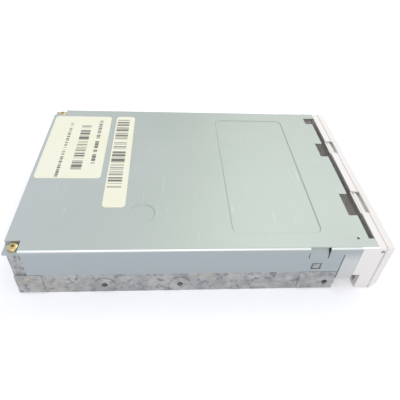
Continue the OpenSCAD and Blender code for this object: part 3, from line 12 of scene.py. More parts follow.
import bmesh
import bpy
from mathutils import Matrix, Vector

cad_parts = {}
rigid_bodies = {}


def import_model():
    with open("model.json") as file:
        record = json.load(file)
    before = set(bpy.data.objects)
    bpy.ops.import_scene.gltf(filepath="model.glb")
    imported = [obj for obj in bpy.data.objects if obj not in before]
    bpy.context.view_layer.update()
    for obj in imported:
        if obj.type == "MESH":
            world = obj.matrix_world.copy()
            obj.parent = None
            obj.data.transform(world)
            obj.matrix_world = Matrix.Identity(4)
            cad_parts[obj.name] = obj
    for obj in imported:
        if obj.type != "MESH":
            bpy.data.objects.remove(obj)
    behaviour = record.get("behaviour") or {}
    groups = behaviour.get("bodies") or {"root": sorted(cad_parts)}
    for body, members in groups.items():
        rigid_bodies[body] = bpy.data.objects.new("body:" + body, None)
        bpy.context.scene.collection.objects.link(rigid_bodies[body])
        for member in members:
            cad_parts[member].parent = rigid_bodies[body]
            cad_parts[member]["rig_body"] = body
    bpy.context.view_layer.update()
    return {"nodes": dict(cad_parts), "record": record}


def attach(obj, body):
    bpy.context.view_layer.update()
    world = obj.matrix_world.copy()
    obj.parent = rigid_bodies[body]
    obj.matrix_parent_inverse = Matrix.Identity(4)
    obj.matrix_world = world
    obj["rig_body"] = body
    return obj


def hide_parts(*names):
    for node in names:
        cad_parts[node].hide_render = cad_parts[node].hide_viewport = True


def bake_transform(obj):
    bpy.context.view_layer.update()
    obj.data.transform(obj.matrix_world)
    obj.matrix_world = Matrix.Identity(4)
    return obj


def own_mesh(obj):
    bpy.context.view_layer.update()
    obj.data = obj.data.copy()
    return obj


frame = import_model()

# %% [markdown]
# ## Units and places
# Drawings of such a drive are in millimetres, and Blender works here in metres. Places along the
# drive are easiest to read as distances behind the front edge of the steel cover, so one function
# turns such a distance into a place along Y.

# %% Units
MM = 0.001
COVER_FRONT = -67.4


def behind_edge(distance):
    """Place along Y, in mm, of a point that far behind the cover's front edge."""
    return COVER_FRONT + distance


def metres(*place):
    """A point in mm as a vector in metres."""
    return Vector(place) * MM


def put(name, data):
    """A new object of a mesh, camera or lamp, in the scene."""
    made = bpy.data.objects.new(name, data)
    bpy.context.scene.collection.objects.link(made)
    return made


print("the cover starts at Y =", behind_edge(0), "mm")

# %% [markdown]
# ## Camera
# The photograph looks down on the drive from its left side, about 42 degrees above the table,
# from close by. Its near side has strong perspective, which gives the place of the camera and a
# lens a little longer than the sensor is wide. The photograph itself was stretched upward by a
# factor of about two. The camera keeps the viewing angle and the true proportions.

# %% Camera
SENSOR_MM = 36.0
PHOTO_WIDTH_PX = 400
FOCAL_PX = 406.1
camera_place = metres(-150.5, 14.6, 140.1)
looks_along = Vector((0.7414, -0.0806, -0.6662))
picture_right = Vector((-0.0596, -0.9967, 0.0543))

camera = put("camera", bpy.data.cameras.new("camera"))
camera.data.sensor_width = SENSOR_MM
camera.data.lens = SENSOR_MM * FOCAL_PX / PHOTO_WIDTH_PX
camera.data.clip_start = 5 * MM
looks_along.normalize()
picture_right = (picture_right - looks_along * picture_right.dot(looks_along)).normalized()
picture_up = picture_right.cross(looks_along)
turn = Matrix((picture_right, picture_up, -looks_along)).transposed()
camera.matrix_world = Matrix.Translation(camera_place) @ turn.to_4x4()
bpy.context.scene.camera = camera
print("lens", round(camera.data.lens, 1), "mm")

# %% [markdown]
# ## Colour and nodes
# Colours are written as sRGB hex values, as a colour chart or a picture editor gives them, and
# one function turns them into the linear values that shaders work in. One more small function
# adds a shader node, sets it and links it, so that each material reads as a short list.

# %% Colour and node helpers


def linear(hex_code):
    """Linear red, green, blue and alpha of an sRGB hex colour."""
    shares = [int(hex_code[i : i + 2], 16) / 255 for i in (1, 3, 5)]
    return [s / 12.92 if s <= 0.04045 else ((s + 0.055) / 1.055) ** 2.4 for s in shares] + [1.0]


def add(tree, kind, inputs=None, **settings):
    """Adds one shader node. An input is a plain value or another node's output."""
    made = tree.nodes.new("ShaderNode" + kind)
    for name, value in settings.items():
        setattr(made, name, value)
    for name, value in (inputs or {}).items():
        if isinstance(value, bpy.types.NodeSocket):
            tree.links.new(value, made.inputs[name])
        else:
            made.inputs[name].default_value = value
    return made


def per_mm(size):
    """Scale of a pattern whose features are about this many mm wide, as repeats in a metre."""
    return 1 / (size * MM)


print("mid grey is", round(linear("#808080")[0], 3), "in linear light")

# %% [markdown]
# ## A surface with real unevenness
# No real surface is one flat colour. Plating, casting and moulding all leave patches of slightly
# different tone, a grain that scatters light, and spots that are a little duller than the rest.
# surface() makes those three things from noise whose sizes are given in millimetres. The finishes
# below call it with their own values and add what only they have, such as spots of another tone.

# %% Surface builder


def surface(name, tones, patch_mm, grain_mm, grain_height_mm, roughness, metallic=0.0, stretch=(1, 1, 1)):
    """A material with two tones in soft patches, roughness that varies with them, and a fine grain."""
    material = bpy.data.materials.new(name)
    material.use_nodes = True
    tree = material.node_tree
    tree.nodes.clear()
    spot = add(tree, "TexCoord")
    place = add(tree, "Mapping", {"Vector": spot.outputs["Object"], "Scale": stretch})
    patches = add(tree, "TexNoise", {"Vector": place.outputs[0], "Scale": per_mm(patch_mm), "Detail": 4.0,
                                     "Roughness": 0.6})
    spread = add(tree, "MapRange", {"Value": patches.outputs["Fac"], "From Min": 0.35, "From Max": 0.65})
    colour = add(tree, "Mix", {0: spread.outputs[0], 6: linear(tones[0]), 7: linear(tones[1])},
                 data_type="RGBA")
    grain = add(tree, "TexNoise", {"Vector": place.outputs[0], "Scale": per_mm(grain_mm), "Detail": 3.0})
    bump = add(tree, "Bump", {"Height": grain.outputs["Fac"], "Distance": grain_height_mm * MM,
                              "Strength": 0.6})
    dull = add(tree, "MapRange", {"Value": patches.outputs["Fac"], "From Min": 0.3, "From Max": 0.7,
                                  "To Min": roughness[0], "To Max": roughness[1]})
    shader = add(tree, "BsdfPrincipled", {"Base Color": colour.outputs[2], "Metallic": metallic,
                                          "Roughness": dull.outputs[0], "Normal": bump.outputs[0]})
    add(tree, "OutputMaterial", {"Surface": shader.outputs[0]})
    return material


print("patches of 34 mm repeat", round(per_mm(34)), "times in a metre")

# %% Additions to a finish


def part_of(material, kind):
    """The first node of that kind in a material, to add to what surface() made."""
    return next(n for n in material.node_tree.nodes if n.bl_idname == "ShaderNode" + kind)


def tree_and_spot(material):
    """A material's node tree, and the output that tells the place on the object."""
    return material.node_tree, part_of(material, "TexCoord").outputs["Object"]


def recolour(material, mask, tone):
    """Lays another tone over the material's colour where the mask is 1."""
    tree = material.node_tree
    shader = part_of(material, "BsdfPrincipled")
    under = shader.inputs["Base Color"].links[0].from_socket
    over = add(tree, "Mix", {0: mask, 6: under, 7: linear(tone)}, data_type="RGBA")
    tree.links.new(over.outputs[2], shader.inputs["Base Color"])


def spots(material, tone, size_mm, trace, full, most, stretch=(1, 1, 1), turn=0.0, **noise):
    """Spots of another tone: none where the noise is below `trace`, and a share of `most` above `full`."""
    tree, spot = tree_and_spot(material)
    place = add(tree, "Mapping", {"Vector": spot, "Scale": stretch, "Rotation": (0, 0, turn)})
    made = add(tree, "TexNoise", {"Vector": place.outputs[0], "Scale": per_mm(size_mm), **noise})
    mask = add(tree, "MapRange", {"Value": made.outputs["Fac"], "From Min": trace, "From Max": full,
                                  "To Max": most})
    recolour(material, mask.outputs[0], tone)


print("spots of 0.9 mm repeat", round(per_mm(0.9)), "times in a metre")

# %% [markdown]
# ## Zinc-plated cover steel
# The cover is thin cold-rolled sheet with a passivated zinc coat. It has a satin grey with a faint
# green cast that drifts to blue toward the rear, a grain too fine to see singly, and a few light rubs
# from handling. The side flanges are toned darker and bluer as painted shade, and each fold gets a
# near-white tone as a painted highlight, the bright line of light reflected along its bend. The
# front tongues are rubbed bright by the drive bay. Each of these zones is a mask made from places
# along the axes. The plating scatters light widely, so it is only half metallic.

# %% Zinc-plated cover steel
zinc_plate = surface("zinc_plated_sheet_satin", ("#ABB5AC", "#B2BBB3"), 34, 0.35, 0.012, (0.40, 0.50), 0.5)
tree, spot = tree_and_spot(zinc_plate)
axes = add(tree, "SeparateXYZ", {0: spot}).outputs
across = add(tree, "Math", {0: axes["X"]}, operation="ABSOLUTE")
along = {"across": across.outputs[0], "Y": axes["Y"], "Z": axes["Z"]}

# the tone of each zone, and the spans in mm over which it comes in: axis, first trace, full tone
ZONES = (
    ("rear half", "#BDC4C4", [("Y", 0.0, 75.0)]),
    # painted shade: the side flanges are toned darker and bluer, as the lamp leaves them in shade
    ("side flanges", "#AEB7B8", [("Z", 24.6, 23.6)]),
    ("front tongues", "#CFD2CF", [("Y", behind_edge(12.6), behind_edge(12.2)), ("Z", 23.0, 18.0)]),
    # painted highlight: a near-white tone along each fold stands for the light that its bend reflects
    ("folds", "#F1F4F2", [("across", 50.0, 50.3), ("Z", 24.6, 24.9)]),
)
for zone, tone, spans in ZONES:
    mask = 1.0
    for axis, trace, full in spans:
        share = add(tree, "MapRange", {"Value": along[axis], "From Min": trace * MM, "From Max": full * MM})
        mask = add(tree, "Math", {0: mask, 1: share.outputs[0]}, operation="MULTIPLY").outputs[0]
    recolour(zinc_plate, mask, tone)
    print("toned the", zone)

spots(zinc_plate, "#DDE2DE", 0.9, trace=0.70, full=0.76, most=0.35, stretch=(0.05, 1, 1), turn=0.5)

# rolled and pressed steel of the inner plates, with less of the coat's green
pressed_steel = surface("zinc_plated_pressed_steel", ("#A6AAAD", "#B2B5B7"), 9, 0.25, 0.01,
                        (0.36, 0.48), 0.7)
print(zinc_plate.name, "and", pressed_steel.name)

# %% [markdown]
# ## Die-cast aluminium
# The frame is cast and then only tumbled. Its skin is a dull, mottled grey with flow marks and
# darker stains a few millimetres wide, and it feels rough. The stains are drawn in two sizes, dark
# and warm, and the pits are drawn a little coarser than the real grit so that a picture shows them.

# %% Die-cast aluminium
PIT_MM, PIT_DEPTH_MM = 1.1, 0.08
cast_metal = surface("die_cast_aluminium_rough", ("#A4A6A6", "#C6C6C3"), 4.0, 0.5, 0.10, (0.50, 0.70), 0.55)
spots(cast_metal, "#76787F", 3.2, trace=0.50, full=0.66, most=0.9, Detail=6.0, Roughness=0.7,
      Distortion=0.8)
spots(cast_metal, "#BDB7A6", 9.0, trace=0.56, full=0.72, most=0.5, Detail=3.0)
tree, spot = tree_and_spot(cast_metal)
pits = add(tree, "TexVoronoi", {"Vector": spot, "Scale": per_mm(PIT_MM)})
pit = add(tree, "MapRange", {"Value": pits.outputs["Distance"], "From Max": 0.35})
pit_bump = add(tree, "Bump", {"Height": pit.outputs[0], "Distance": PIT_DEPTH_MM * MM, "Strength": 0.5,
                              "Normal": part_of(cast_metal, "Bump").outputs[0]})
tree.links.new(pit_bump.outputs[0], part_of(cast_metal, "BsdfPrincipled").inputs["Normal"])
print(cast_metal.name)

# %% [markdown]
# ## Plastics
# The bezel, door and button are moulded in warm white ABS with a fine spark-eroded texture, which
# makes them softly matt. The connectors and switches are black PBT, the carriage is polycarbonate
# filled with glass, whose fibres leave pale flecks, and the lever is slippery cream acetal.

# %% Plastics
# the door's pin, as its place along Y and Z
DOOR_AXIS = (-69.5, 23.1)
PIN_HOLE_R = 0.78
PIN_END_X = 49.5
bezel_plastic = surface("moulded_abs_warm_white", ("#F8F4ED", "#FAF7F2"), 20, 0.3, 0.02, (0.42, 0.50))
# the door's pins end inside their holes; a grey tone on the pin's end and the hole's wall is painted shade
# of the recess
tree, spot = tree_and_spot(bezel_plastic)
flat = add(tree, "Mapping", {"Vector": spot, "Scale": (0, 1, 1)})
from_axis = add(tree, "VectorMath", {0: flat.outputs[0], 1: metres(0, *DOOR_AXIS)}, operation="DISTANCE")
in_hole = add(tree, "Math", {0: from_axis.outputs["Value"], 1: PIN_HOLE_R * MM}, operation="LESS_THAN")
axes = add(tree, "SeparateXYZ", {0: spot})
across = add(tree, "Math", {0: axes.outputs["X"]}, operation="ABSOLUTE")
at_side = add(tree, "Math", {0: across.outputs[0], 1: PIN_END_X * MM}, operation="GREATER_THAN")
pin_hole_shade = add(tree, "Math", {0: in_hole.outputs[0], 1: at_side.outputs[0]}, operation="MULTIPLY")
recolour(bezel_plastic, pin_hole_shade.outputs[0], "#857C82")
button_plastic = surface("moulded_abs_button", ("#E2DDD6", "#E7E2DB"), 12, 0.3, 0.02, (0.36, 0.44))
acetal = surface("moulded_acetal_cream", ("#DCD5C3", "#E3DDCD"), 6, 0.4, 0.01, (0.30, 0.40))
black_pbt = surface("moulded_pbt_black", ("#242528", "#2B2C2F"), 4, 0.25, 0.015, (0.45, 0.55))
white_nylon = surface("moulded_nylon_natural", ("#ECE9DF", "#F2F0E8"), 4, 0.3, 0.012, (0.38, 0.48))
glass_filled = surface("glass_filled_polycarbonate", ("#3A3C40", "#45474B"), 3, 0.3, 0.03, (0.42, 0.55))
spots(glass_filled, "#8A8C90", 0.25, trace=0.66, full=0.74, most=0.4, stretch=(1, 0.15, 1), Detail=1.0)

# the lens is cast in tinted clear resin, a little milky so that the lamp behind it spreads
lens_resin = surface("tinted_clear_resin_green", ("#6FBF5A", "#83CC6C"), 2, 0.5, 0.004, (0.12, 0.18))
part_of(lens_resin, "BsdfPrincipled").inputs["Transmission Weight"].default_value = 0.35
print("7 plastics made")

# %% [markdown]
# ## Metals of the small parts
# Turned steel keeps fine rings from the lathe, spring wire is drawn and darker, the cover's
# screws are plated with yellow zinc, and pins are flashed with gold or dipped in tin. Sintered
# bronze is porous. Each gets its own tone, grain and roughness, and all are metallic.

# %% Metals of the small parts
turned_steel = surface("turned_steel_polished", ("#BFC2C6", "#CCCED1"), 5, 0.08, 0.008, (0.18, 0.28), 1.0,
                       stretch=(1, 6, 6))
spring_wire = surface("drawn_spring_wire", ("#9A9CA0", "#A8AAAE"), 2, 0.1, 0.006, (0.25, 0.35), 1.0)
yellow_zinc = surface("yellow_zinc_plated_screw", ("#BDAA74", "#D2C59A"), 1.2, 0.2, 0.01, (0.26, 0.40), 1.0)
steel_screw = surface("zinc_plated_screw", ("#B4B7BB", "#C6C9CC"), 1.2, 0.2, 0.01, (0.26, 0.38), 1.0)
gold_flash = surface("gold_flashed_pin", ("#D8B25E", "#E2C078"), 1, 0.1, 0.003, (0.18, 0.26), 1.0)
tin_dip = surface("tinned_pin_and_solder", ("#C4C5C6", "#D2D3D3"), 0.8, 0.2, 0.01, (0.24, 0.36), 1.0)
bronze = surface("sintered_bronze_porous", ("#B48A4C", "#C59B5C"), 1.5, 0.12, 0.02, (0.40, 0.55), 1.0)
silver_can = surface("drawn_aluminium_can", ("#C9CACC", "#D6D7D8"), 6, 0.15, 0.006, (0.25, 0.36), 1.0)
print("8 metals made")

# %% [markdown]
# ## Windings, laminations and magnets
# The motor's coils are enamelled copper wire wound side by side, so their bump is a set of parallel
# ridges. The core is a stack of thin stampings, which shows as lines round its rim. Both are drawn
# about six times as wide as the wire and the sheet are, because a picture wouldn't show them. The
# ring magnets and heads are dark ferrite, a ground or lapped ceramic.

# %% Windings, laminations and magnets
WIRE_MM = 0.25
SHEET_MM = 0.35
COARSER = 2 * math.pi
WAVE_UNIT = math.pi / 10
copper_wire = surface("enamelled_copper_winding", ("#A5602C", "#C07A3C"), 1.5, 0.2, 0.01, (0.22, 0.32), 0.9)
laminations = surface("stacked_core_laminations", ("#6B6D72", "#7D7F83"), 3, 0.2, 0.01, (0.40, 0.50), 0.8)
for material, pitch in ((copper_wire, WIRE_MM), (laminations, SHEET_MM)):
    tree, spot = tree_and_spot(material)
    lines = add(tree, "TexWave", {"Vector": spot, "Scale": WAVE_UNIT * per_mm(COARSER * pitch)},
                bands_direction="Z")
    ridges = add(tree, "Bump", {"Height": lines.outputs["Fac"], "Distance": pitch * MM / 3,
                                "Normal": part_of(material, "Bump").outputs[0]})
    tree.links.new(ridges.outputs[0], part_of(material, "BsdfPrincipled").inputs["Normal"])
ferrite = surface("sintered_ferrite", ("#38383A", "#434345"), 2, 0.15, 0.015, (0.45, 0.60), 0.1)
lapped_ferrite = surface("lapped_ferrite_head", ("#303033", "#3A3A3E"), 1, 0.1, 0.003, (0.12, 0.20), 0.1)
chip_epoxy = surface("moulded_chip_epoxy", ("#26262A", "#303034"), 3, 0.15, 0.012, (0.48, 0.58))
sleeve = surface("shrink_sleeve_dark", ("#2F3742", "#3A434F"), 3, 0.5, 0.01, (0.22, 0.32))
print("6 motor and chip finishes made")

# %% [markdown]
# ## Circuit boards
# The boards are glass epoxy under green solder mask. Copper tracks under the mask read as lighter
# green lines on a grid of about a millimetre, with vias as small tinned dots among them. The
# tracks are drawn from a brick pattern whose rows break and shift, which looks routed.

# %% Circuit board finish
TRACK_PITCH_MM = 1.27
TRACK_WIDTH_MM = 0.14
VIA_PITCH_MM = 3.8
FILM_LINE_MM = 1.0
solder_mask = surface("glass_epoxy_green_mask", ("#1F5A38", "#246340"), 14, 0.4, 0.008, (0.22, 0.32))
tree, spot = tree_and_spot(solder_mask)
for turn_angle, brick_length in ((0.0, 13.0), (math.pi / 2, 8.5)):
    laid = add(tree, "Mapping", {"Vector": spot, "Rotation": (0, 0, turn_angle)})
    tracks = add(tree, "TexBrick", {"Vector": laid.outputs[0], "Scale": 1.0, "Mortar Smooth": 0.1,
                                    "Mortar Size": TRACK_WIDTH_MM * MM, "Row Height": TRACK_PITCH_MM * MM,
                                    "Brick Width": brick_length * MM}, offset=0.37, squash_frequency=3)
    region = add(tree, "TexNoise", {"Vector": laid.outputs[0], "Scale": per_mm(11), "Detail": 0.0})
    routed = add(tree, "MapRange", {"Value": region.outputs["Fac"], "From Min": 0.47, "From Max": 0.50})
    track = add(tree, "Math", {0: tracks.outputs["Fac"], 1: routed.outputs[0]}, operation="MULTIPLY")
    recolour(solder_mask, track.outputs[0], "#4C9A66")
vias = add(tree, "TexVoronoi", {"Vector": spot, "Scale": per_mm(VIA_PITCH_MM)}, voronoi_dimensions="2D")
via = add(tree, "MapRange", {"Value": vias.outputs["Distance"], "From Min": 0.12, "From Max": 0.10})
recolour(solder_mask, via.outputs[0], "#B9BDB4")

# the head cable is amber film with copper lines along it, a little wider apart than real ones
flex_film = surface("polyimide_film_amber", ("#C8862E", "#D2933A"), 5, 0.5, 0.004, (0.18, 0.26))
tree, spot = tree_and_spot(flex_film)
across = add(tree, "SeparateXYZ", {0: spot})
line_phase = add(tree, "Math", {0: across.outputs["X"], 1: per_mm(FILM_LINE_MM)}, operation="MULTIPLY")
line_share = add(tree, "Math", {0: line_phase.outputs[0]}, operation="FRACT")
line = add(tree, "Math", {0: line_share.outputs[0], 1: 0.5}, operation="GREATER_THAN")
recolour(flex_film, line.outputs[0], "#A8621E")
print("boards and flex cable film made")

# %% [markdown]
# ## Paper labels
# The cover has a large label and a long strip, both of cream coated paper. Each carries generic
# rows of plain bars that mean nothing, in the soft grey of thermal print. A row is cut into narrow
# columns, and white noise decides column by column whether it is inked, so bars and gaps differ.

# %% Label paper
BAR_STEP_MM = 0.34
BARE_SHARE = 0.47
NEXT_ROW = 500
PAPER = ("#FBFBDE", "#FDFDE8")
INK = "#76746D"


def label_paper(name, rows, seed):
    """Coated paper with rows of generic bars; a row is its span in X and behind the edge, in mm."""
    material = surface(name, PAPER, 18, 0.25, 0.006, (0.38, 0.46))
    tree, spot = tree_and_spot(material)
    axes = add(tree, "SeparateXYZ", {0: spot})
    step = add(tree, "Math", {0: axes.outputs["X"], 1: per_mm(BAR_STEP_MM)}, operation="MULTIPLY")
    column = add(tree, "Math", {0: step.outputs[0]}, operation="FLOOR")
    for number, (left, right, front, rear) in enumerate(rows):
        shifted = add(tree, "Math", {0: column.outputs[0], 1: seed + NEXT_ROW * number}, operation="ADD")
        chance = add(tree, "TexWhiteNoise", {"W": shifted.outputs[0]}, noise_dimensions="1D")
        inked = add(tree, "Math", {0: chance.outputs["Value"], 1: BARE_SHARE}, operation="GREATER_THAN")
        for axis, limits in (("X", (left, right)), ("Y", (behind_edge(front), behind_edge(rear)))):
            for limit, side in zip(limits, ("GREATER_THAN", "LESS_THAN")):
                within = add(tree, "Math", {0: axes.outputs[axis], 1: limit * MM}, operation=side)
                inked = add(tree, "Math", {0: inked.outputs[0], 1: within.outputs[0]}, operation="MULTIPLY")
        recolour(material, inked.outputs[0], INK)
    return material


main_paper = label_paper("coated_paper_large_label", [
    (-3, 36, 120.8, 125.6), (2, 40, 115.4, 117.2), (-8, 37, 130.2, 131.6)], 7)
strip_paper = label_paper("coated_paper_strip_label", [(-15, 41, 101.8, 108.0)], 61)
print(main_paper.name, "and", strip_paper.name)

# %% [markdown]
# ## Edges
# Nothing real has a perfectly sharp edge: sheet steel has a sheared rim, castings have draft and
# fillets, and mouldings follow a rounded tool. A softened copy of a CAD solid, with its edges
# bevelled by the width that its process leaves, catches light along them. The copy is welded and
# its flat faces are merged first, so that only true edges are rounded. Pressing also slopes the
# walls of the cover's sunk forms, so the rim of their floor is drawn in.

# %% Meshes and pieces
SMOOTH = math.radians(50)


def mesh_of(form, name):
    """The mesh of a finished bmesh, which is then let go."""
    mesh = bpy.data.meshes.new(name)
    form.to_mesh(mesh)
    form.free()
    return mesh


def settle(piece):
    """Replaces the piece's mesh by what its modifiers make of it."""
    bpy.context.view_layer.update()
    made = bpy.data.meshes.new_from_object(piece.evaluated_get(bpy.context.evaluated_depsgraph_get()))
    piece.modifiers.clear()
    piece.data = made


def smooth(mesh, crease=SMOOTH):
    """Smooth shading that keeps the edges that turn by more than the crease angle."""
    mesh.shade_smooth()
    mesh.set_sharp_from_angle(angle=crease)


def place_piece(name, mesh, materials, body, slot, *replaced):
    """Makes an object of a mesh, with its finishes, its body and the nodes it stands for."""
    piece = put(name, mesh)
    mesh.materials.clear()
    for material in materials:
        mesh.materials.append(material)
    if body:
        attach(piece, body)
    if replaced:
        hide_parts(*replaced)
    return piece


print("creases show from", round(math.degrees(SMOOTH)), "degrees up")

# %% Sunk forms of the cover
# the rectangle and the circle: middle, half sizes of the straight core, radius round it
SUNK_FORMS = ((Vector((0, behind_edge(38.25))), (39.4, 15.15), 3.0),
              (Vector((-30.6, behind_edge(92.3))), (0, 0), 5.5))
SUNK_Z = 25.0
NEAR_Z, NEAR_RIM = 0.03, 0.1
SLOPE = 0.45


def draw_embosses(form):
    """Slopes the walls of the cover's sunk forms, as pressing does."""
    count = 0
    for vert in form.verts:
        for middle, (half_x, half_y), radius in SUNK_FORMS:
            away = vert.co.xy / MM - middle
            core = Vector((max(-half_x, min(half_x, away.x)), max(-half_y, min(half_y, away.y))))
            if abs(vert.co.z / MM - SUNK_Z) < NEAR_Z and (away - core).length < radius + NEAR_RIM:
                vert.co.xy = (middle + core + (away - core) * (1 - SLOPE / radius)) * MM
                count += 1
    print(count, "points moved to slope the embosses")


print(len(SUNK_FORMS), "sunk forms")

# %% Soften a CAD solid
SHARP = math.radians(35)
EMBOSS_CREASE = math.radians(22)
SLOT_OF = {part["node"]: part["material_slot"] for part in frame["record"]["subparts"]}


def soften(node, edge_mm, material, segments=2, crease=SMOOTH, press=None):
    """A copy of a CAD node with its edges rounded, in the node's place and on its body."""
    source = frame["nodes"][node]
    form = bmesh.new()
    form.from_mesh(source.data)
    bmesh.ops.remove_doubles(form, verts=form.verts, dist=0.003 * MM)
    bmesh.ops.dissolve_limit(form, angle_limit=math.radians(1), verts=form.verts, edges=form.edges)
    bmesh.ops.recalc_face_normals(form, faces=form.faces)
    if press:
        press(form)
    name = node + "_soft"
    piece = place_piece(name, mesh_of(form, name), [material], source["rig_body"], SLOT_OF[node], node)
    rounding = piece.modifiers.new("rounded edges", "BEVEL")
    rounding.width = edge_mm * MM
    rounding.segments = segments
    rounding.limit_method = "ANGLE"
    rounding.angle_limit = SHARP
    settle(piece)
    smooth(piece.data, crease)
    piece.modifiers.new("flat faces stay flat", "WEIGHTED_NORMAL").keep_sharp = True
    settle(piece)
    return piece


print("edges are softened by rule, from", round(math.degrees(SHARP)), "degrees up")

# %% [markdown]
# ## Cover, frame, bezel and door
# These are what one sees first. The cover is sheared and folded sheet, so its edges are nearly
# sharp. The frame's cast edges are blunt. The bezel and its door are moulded with small radii, and
# the button has the roundest edges, because a finger presses it.

# %% Outer pieces
# width of the rounded edge in mm, the finish, and the steps round the edge
OUTER = {
    "chassis_frame": (0.30, cast_metal, 3),
    "front_bezel": (0.25, bezel_plastic, 2),
    "media_door": (0.30, bezel_plastic, 3),
    "eject_button": (0.50, button_plastic, 3),
}
cover = soften("top_cover", 0.14, zinc_plate, crease=EMBOSS_CREASE, press=draw_embosses)
for made in [cover] + [soften(node, *edge_and_finish) for node, edge_and_finish in OUTER.items()]:
    print(made.name, len(made.data.polygons), "faces")

# %% [markdown]
# ## Inner plates, boards and mouldings
# The parts inside are pressed, moulded or turned by the same few processes, so each gets the edge
# that its process leaves. Thin blanks and boards stay as the CAD made them and only take their
# finish, because their sheared or routed edges are crisp.

# %% Inner pieces
# the finish, and the width of each node's rounded edges in mm
INNER = (
    (pressed_steel, {"disk_holder": 0.12, "ejector_slide": 0.10, "stepper_bracket": 0.10,
                     "rotor_cup": 0.25}),
    (turned_steel, {"holder_studs": 0.15, "latch_rivet": 0.15, "guide_rods": 0.20, "spindle_shaft": 0.25,
                    "spindle_hub": 0.20, "drive_pin": 0.35}),
    (glass_filled, {"head_carriage": 0.15, "upper_arm": 0.20}),
    (lapped_ferrite, {"lower_head": 0.12, "upper_head": 0.12}),
    (chip_epoxy, {"motor_chips": 0.04, "controller_chips": 0.04}),
    (black_pbt, {"data_connector": 0.15, "switch_bodies": 0.12, "track_zero_sensor": 0.15}),
    (white_nylon, {"power_connector": 0.20, "write_protect_plunger": 0.25, "density_plunger": 0.25,
                   "disk_in_plunger": 0.25, "flex_socket": 0.12}),
    (acetal, {"latch_lever": 0.10}),
    (silver_can, {"stepper_can": 0.30}),
    (gold_flash, {"data_pins": 0.12}),
    (tin_dip, {"power_pins": 0.15}),
    (lens_resin, {"activity_light": 0.20}),
)
for finish, edges in INNER:
    for node, edge in edges.items():
        soften(node, edge, finish)
print(sum(len(edges) for finish, edges in INNER), "inner pieces softened")

KEPT = {
    "label_main": main_paper,
    "label_strip": strip_paper,
    "stepper_stator": copper_wire,
    "stepper_rotor": ferrite,
    "motor_board": solder_mask,
    "controller_board": solder_mask,
    "spindle_bearing": bronze,
    "stator_core": laminations,
    "stator_coils": copper_wire,
    "rotor_magnet": ferrite,
}
for node, finish in KEPT.items():
    mesh = frame["nodes"][node].data
    mesh.materials.clear()
    mesh.materials.append(finish)
print(len(KEPT), "CAD solids kept with a finish")

# %% [markdown]
# ## Leads of other metal
# A few solids hold a moulding and its metal leads, which are tinned wire. The leads of the light
# and of the switches lie below their mouldings, and those of the chips, which hang under the
# boards, lie above theirs. So the faces between two heights take the tinned finish.

# %% Tinned leads
# lowest and highest place of the leads' faces, in mm
CHIP_LEADS = (2.75, 4.0)
LEADS = {
    "activity_light_soft": (-1.0, 5.45),
    "switch_bodies_soft": (-1.0, 5.98),
    "motor_chips_soft": CHIP_LEADS,
    "controller_chips_soft": CHIP_LEADS,
}
for name, (low, high) in LEADS.items():
    mesh = bpy.data.objects[name].data
    mesh.materials.append(tin_dip)
    tinned = [face for face in mesh.polygons if low * MM < face.center.z < high * MM]
    for face in tinned:
        face.material_index = 1
    print(name, len(tinned), "faces tinned")

# %% [markdown]
# ## Round and swept shapes
# Screws and capacitors are turned or drawn, so their meshes come from a profile spun round an
# axis. Springs and cable are one section swept along a path. Both builders close their ends, so
# each piece is a real solid.

# %% Lathe and sweep


def skin(form, rings, name):
    """A closed mesh over rings of points. A ring of one point is a tip, and a wider end gets a face."""
    n = max(len(points) for points in rings)
    for low, high in zip(rings, rings[1:]):
        for i in range(n):
            j = (i + 1) % n
            corners = [low[i % len(low)], low[j % len(low)], high[j % len(high)], high[i % len(high)]]
            form.faces.new([v for k, v in enumerate(corners) if v not in corners[:k]])
    for end in (rings[0], rings[-1]):
        if len(end) > 1:
            form.faces.new(end)
    bmesh.ops.recalc_face_normals(form, faces=form.faces)
    mesh = mesh_of(form, name)
    smooth(mesh)
    return mesh


def lathe(profile, sides=32):
    """A closed solid from (radius, height) points in mm, spun round Z. It starts and ends at radius 0."""
    form = bmesh.new()
    rings = []
    for radius, height in profile:
        angles = [2 * math.pi * i / sides for i in range(sides if radius else 1)]
        rings.append([form.verts.new(metres(radius * math.cos(a), radius * math.sin(a), height))
                      for a in angles])
    return skin(form, rings, "turned")


def sweep(path, section):
    """A closed solid from a section of (side, up) points in mm, moved along a path of points in mm."""
    points = [Vector(p) for p in path]
    form = bmesh.new()
    rings = []
    lift = Vector((0, 0, 1))
    for i, point in enumerate(points):
        ahead = (points[min(i + 1, len(points) - 1)] - points[max(i - 1, 0)]).normalized()
        if abs(lift.dot(ahead)) > 0.99:
            lift = Vector((1, 0, 0)) if abs(ahead.x) < 0.9 else Vector((0, 1, 0))
        lift = (lift - ahead * lift.dot(ahead)).normalized()
        side = ahead.cross(lift)
        rings.append([form.verts.new((point + side * a + lift * b) * MM) for a, b in section])
    return skin(form, rings, "swept")


print("a test turn has", len(lathe([(0, 0), (1, 0), (0, 1)]).polygons), "faces")

# %% Wire, coils and sets
TURN_STEPS = 12


def ring(radius, sides=8):
    """A round section for sweep()."""
    return [(radius * math.cos(2 * math.pi * i / sides), radius * math.sin(2 * math.pi * i / sides))
            for i in range(sides)]


def coil(radius, pitch, first, last):
    """Points of a coil of wire: place along its axis, and two distances from the axis, in mm."""
    angles = [2 * math.pi * k / TURN_STEPS for k in range(first, last + 1)]
    return [(pitch * a / (2 * math.pi), radius * math.cos(a), radius * math.sin(a)) for a in angles]


def joined(meshes):
    """One mesh from several, each of them given with the matrix that places it."""
    form = bmesh.new()
    for mesh, matrix in meshes:
        part = mesh.copy()
        part.transform(matrix)
        form.from_mesh(part)
        bpy.data.meshes.remove(part)
    made = mesh_of(form, "joined")
    smooth(made)
    return made


print("a turn of wire has", TURN_STEPS, "steps")

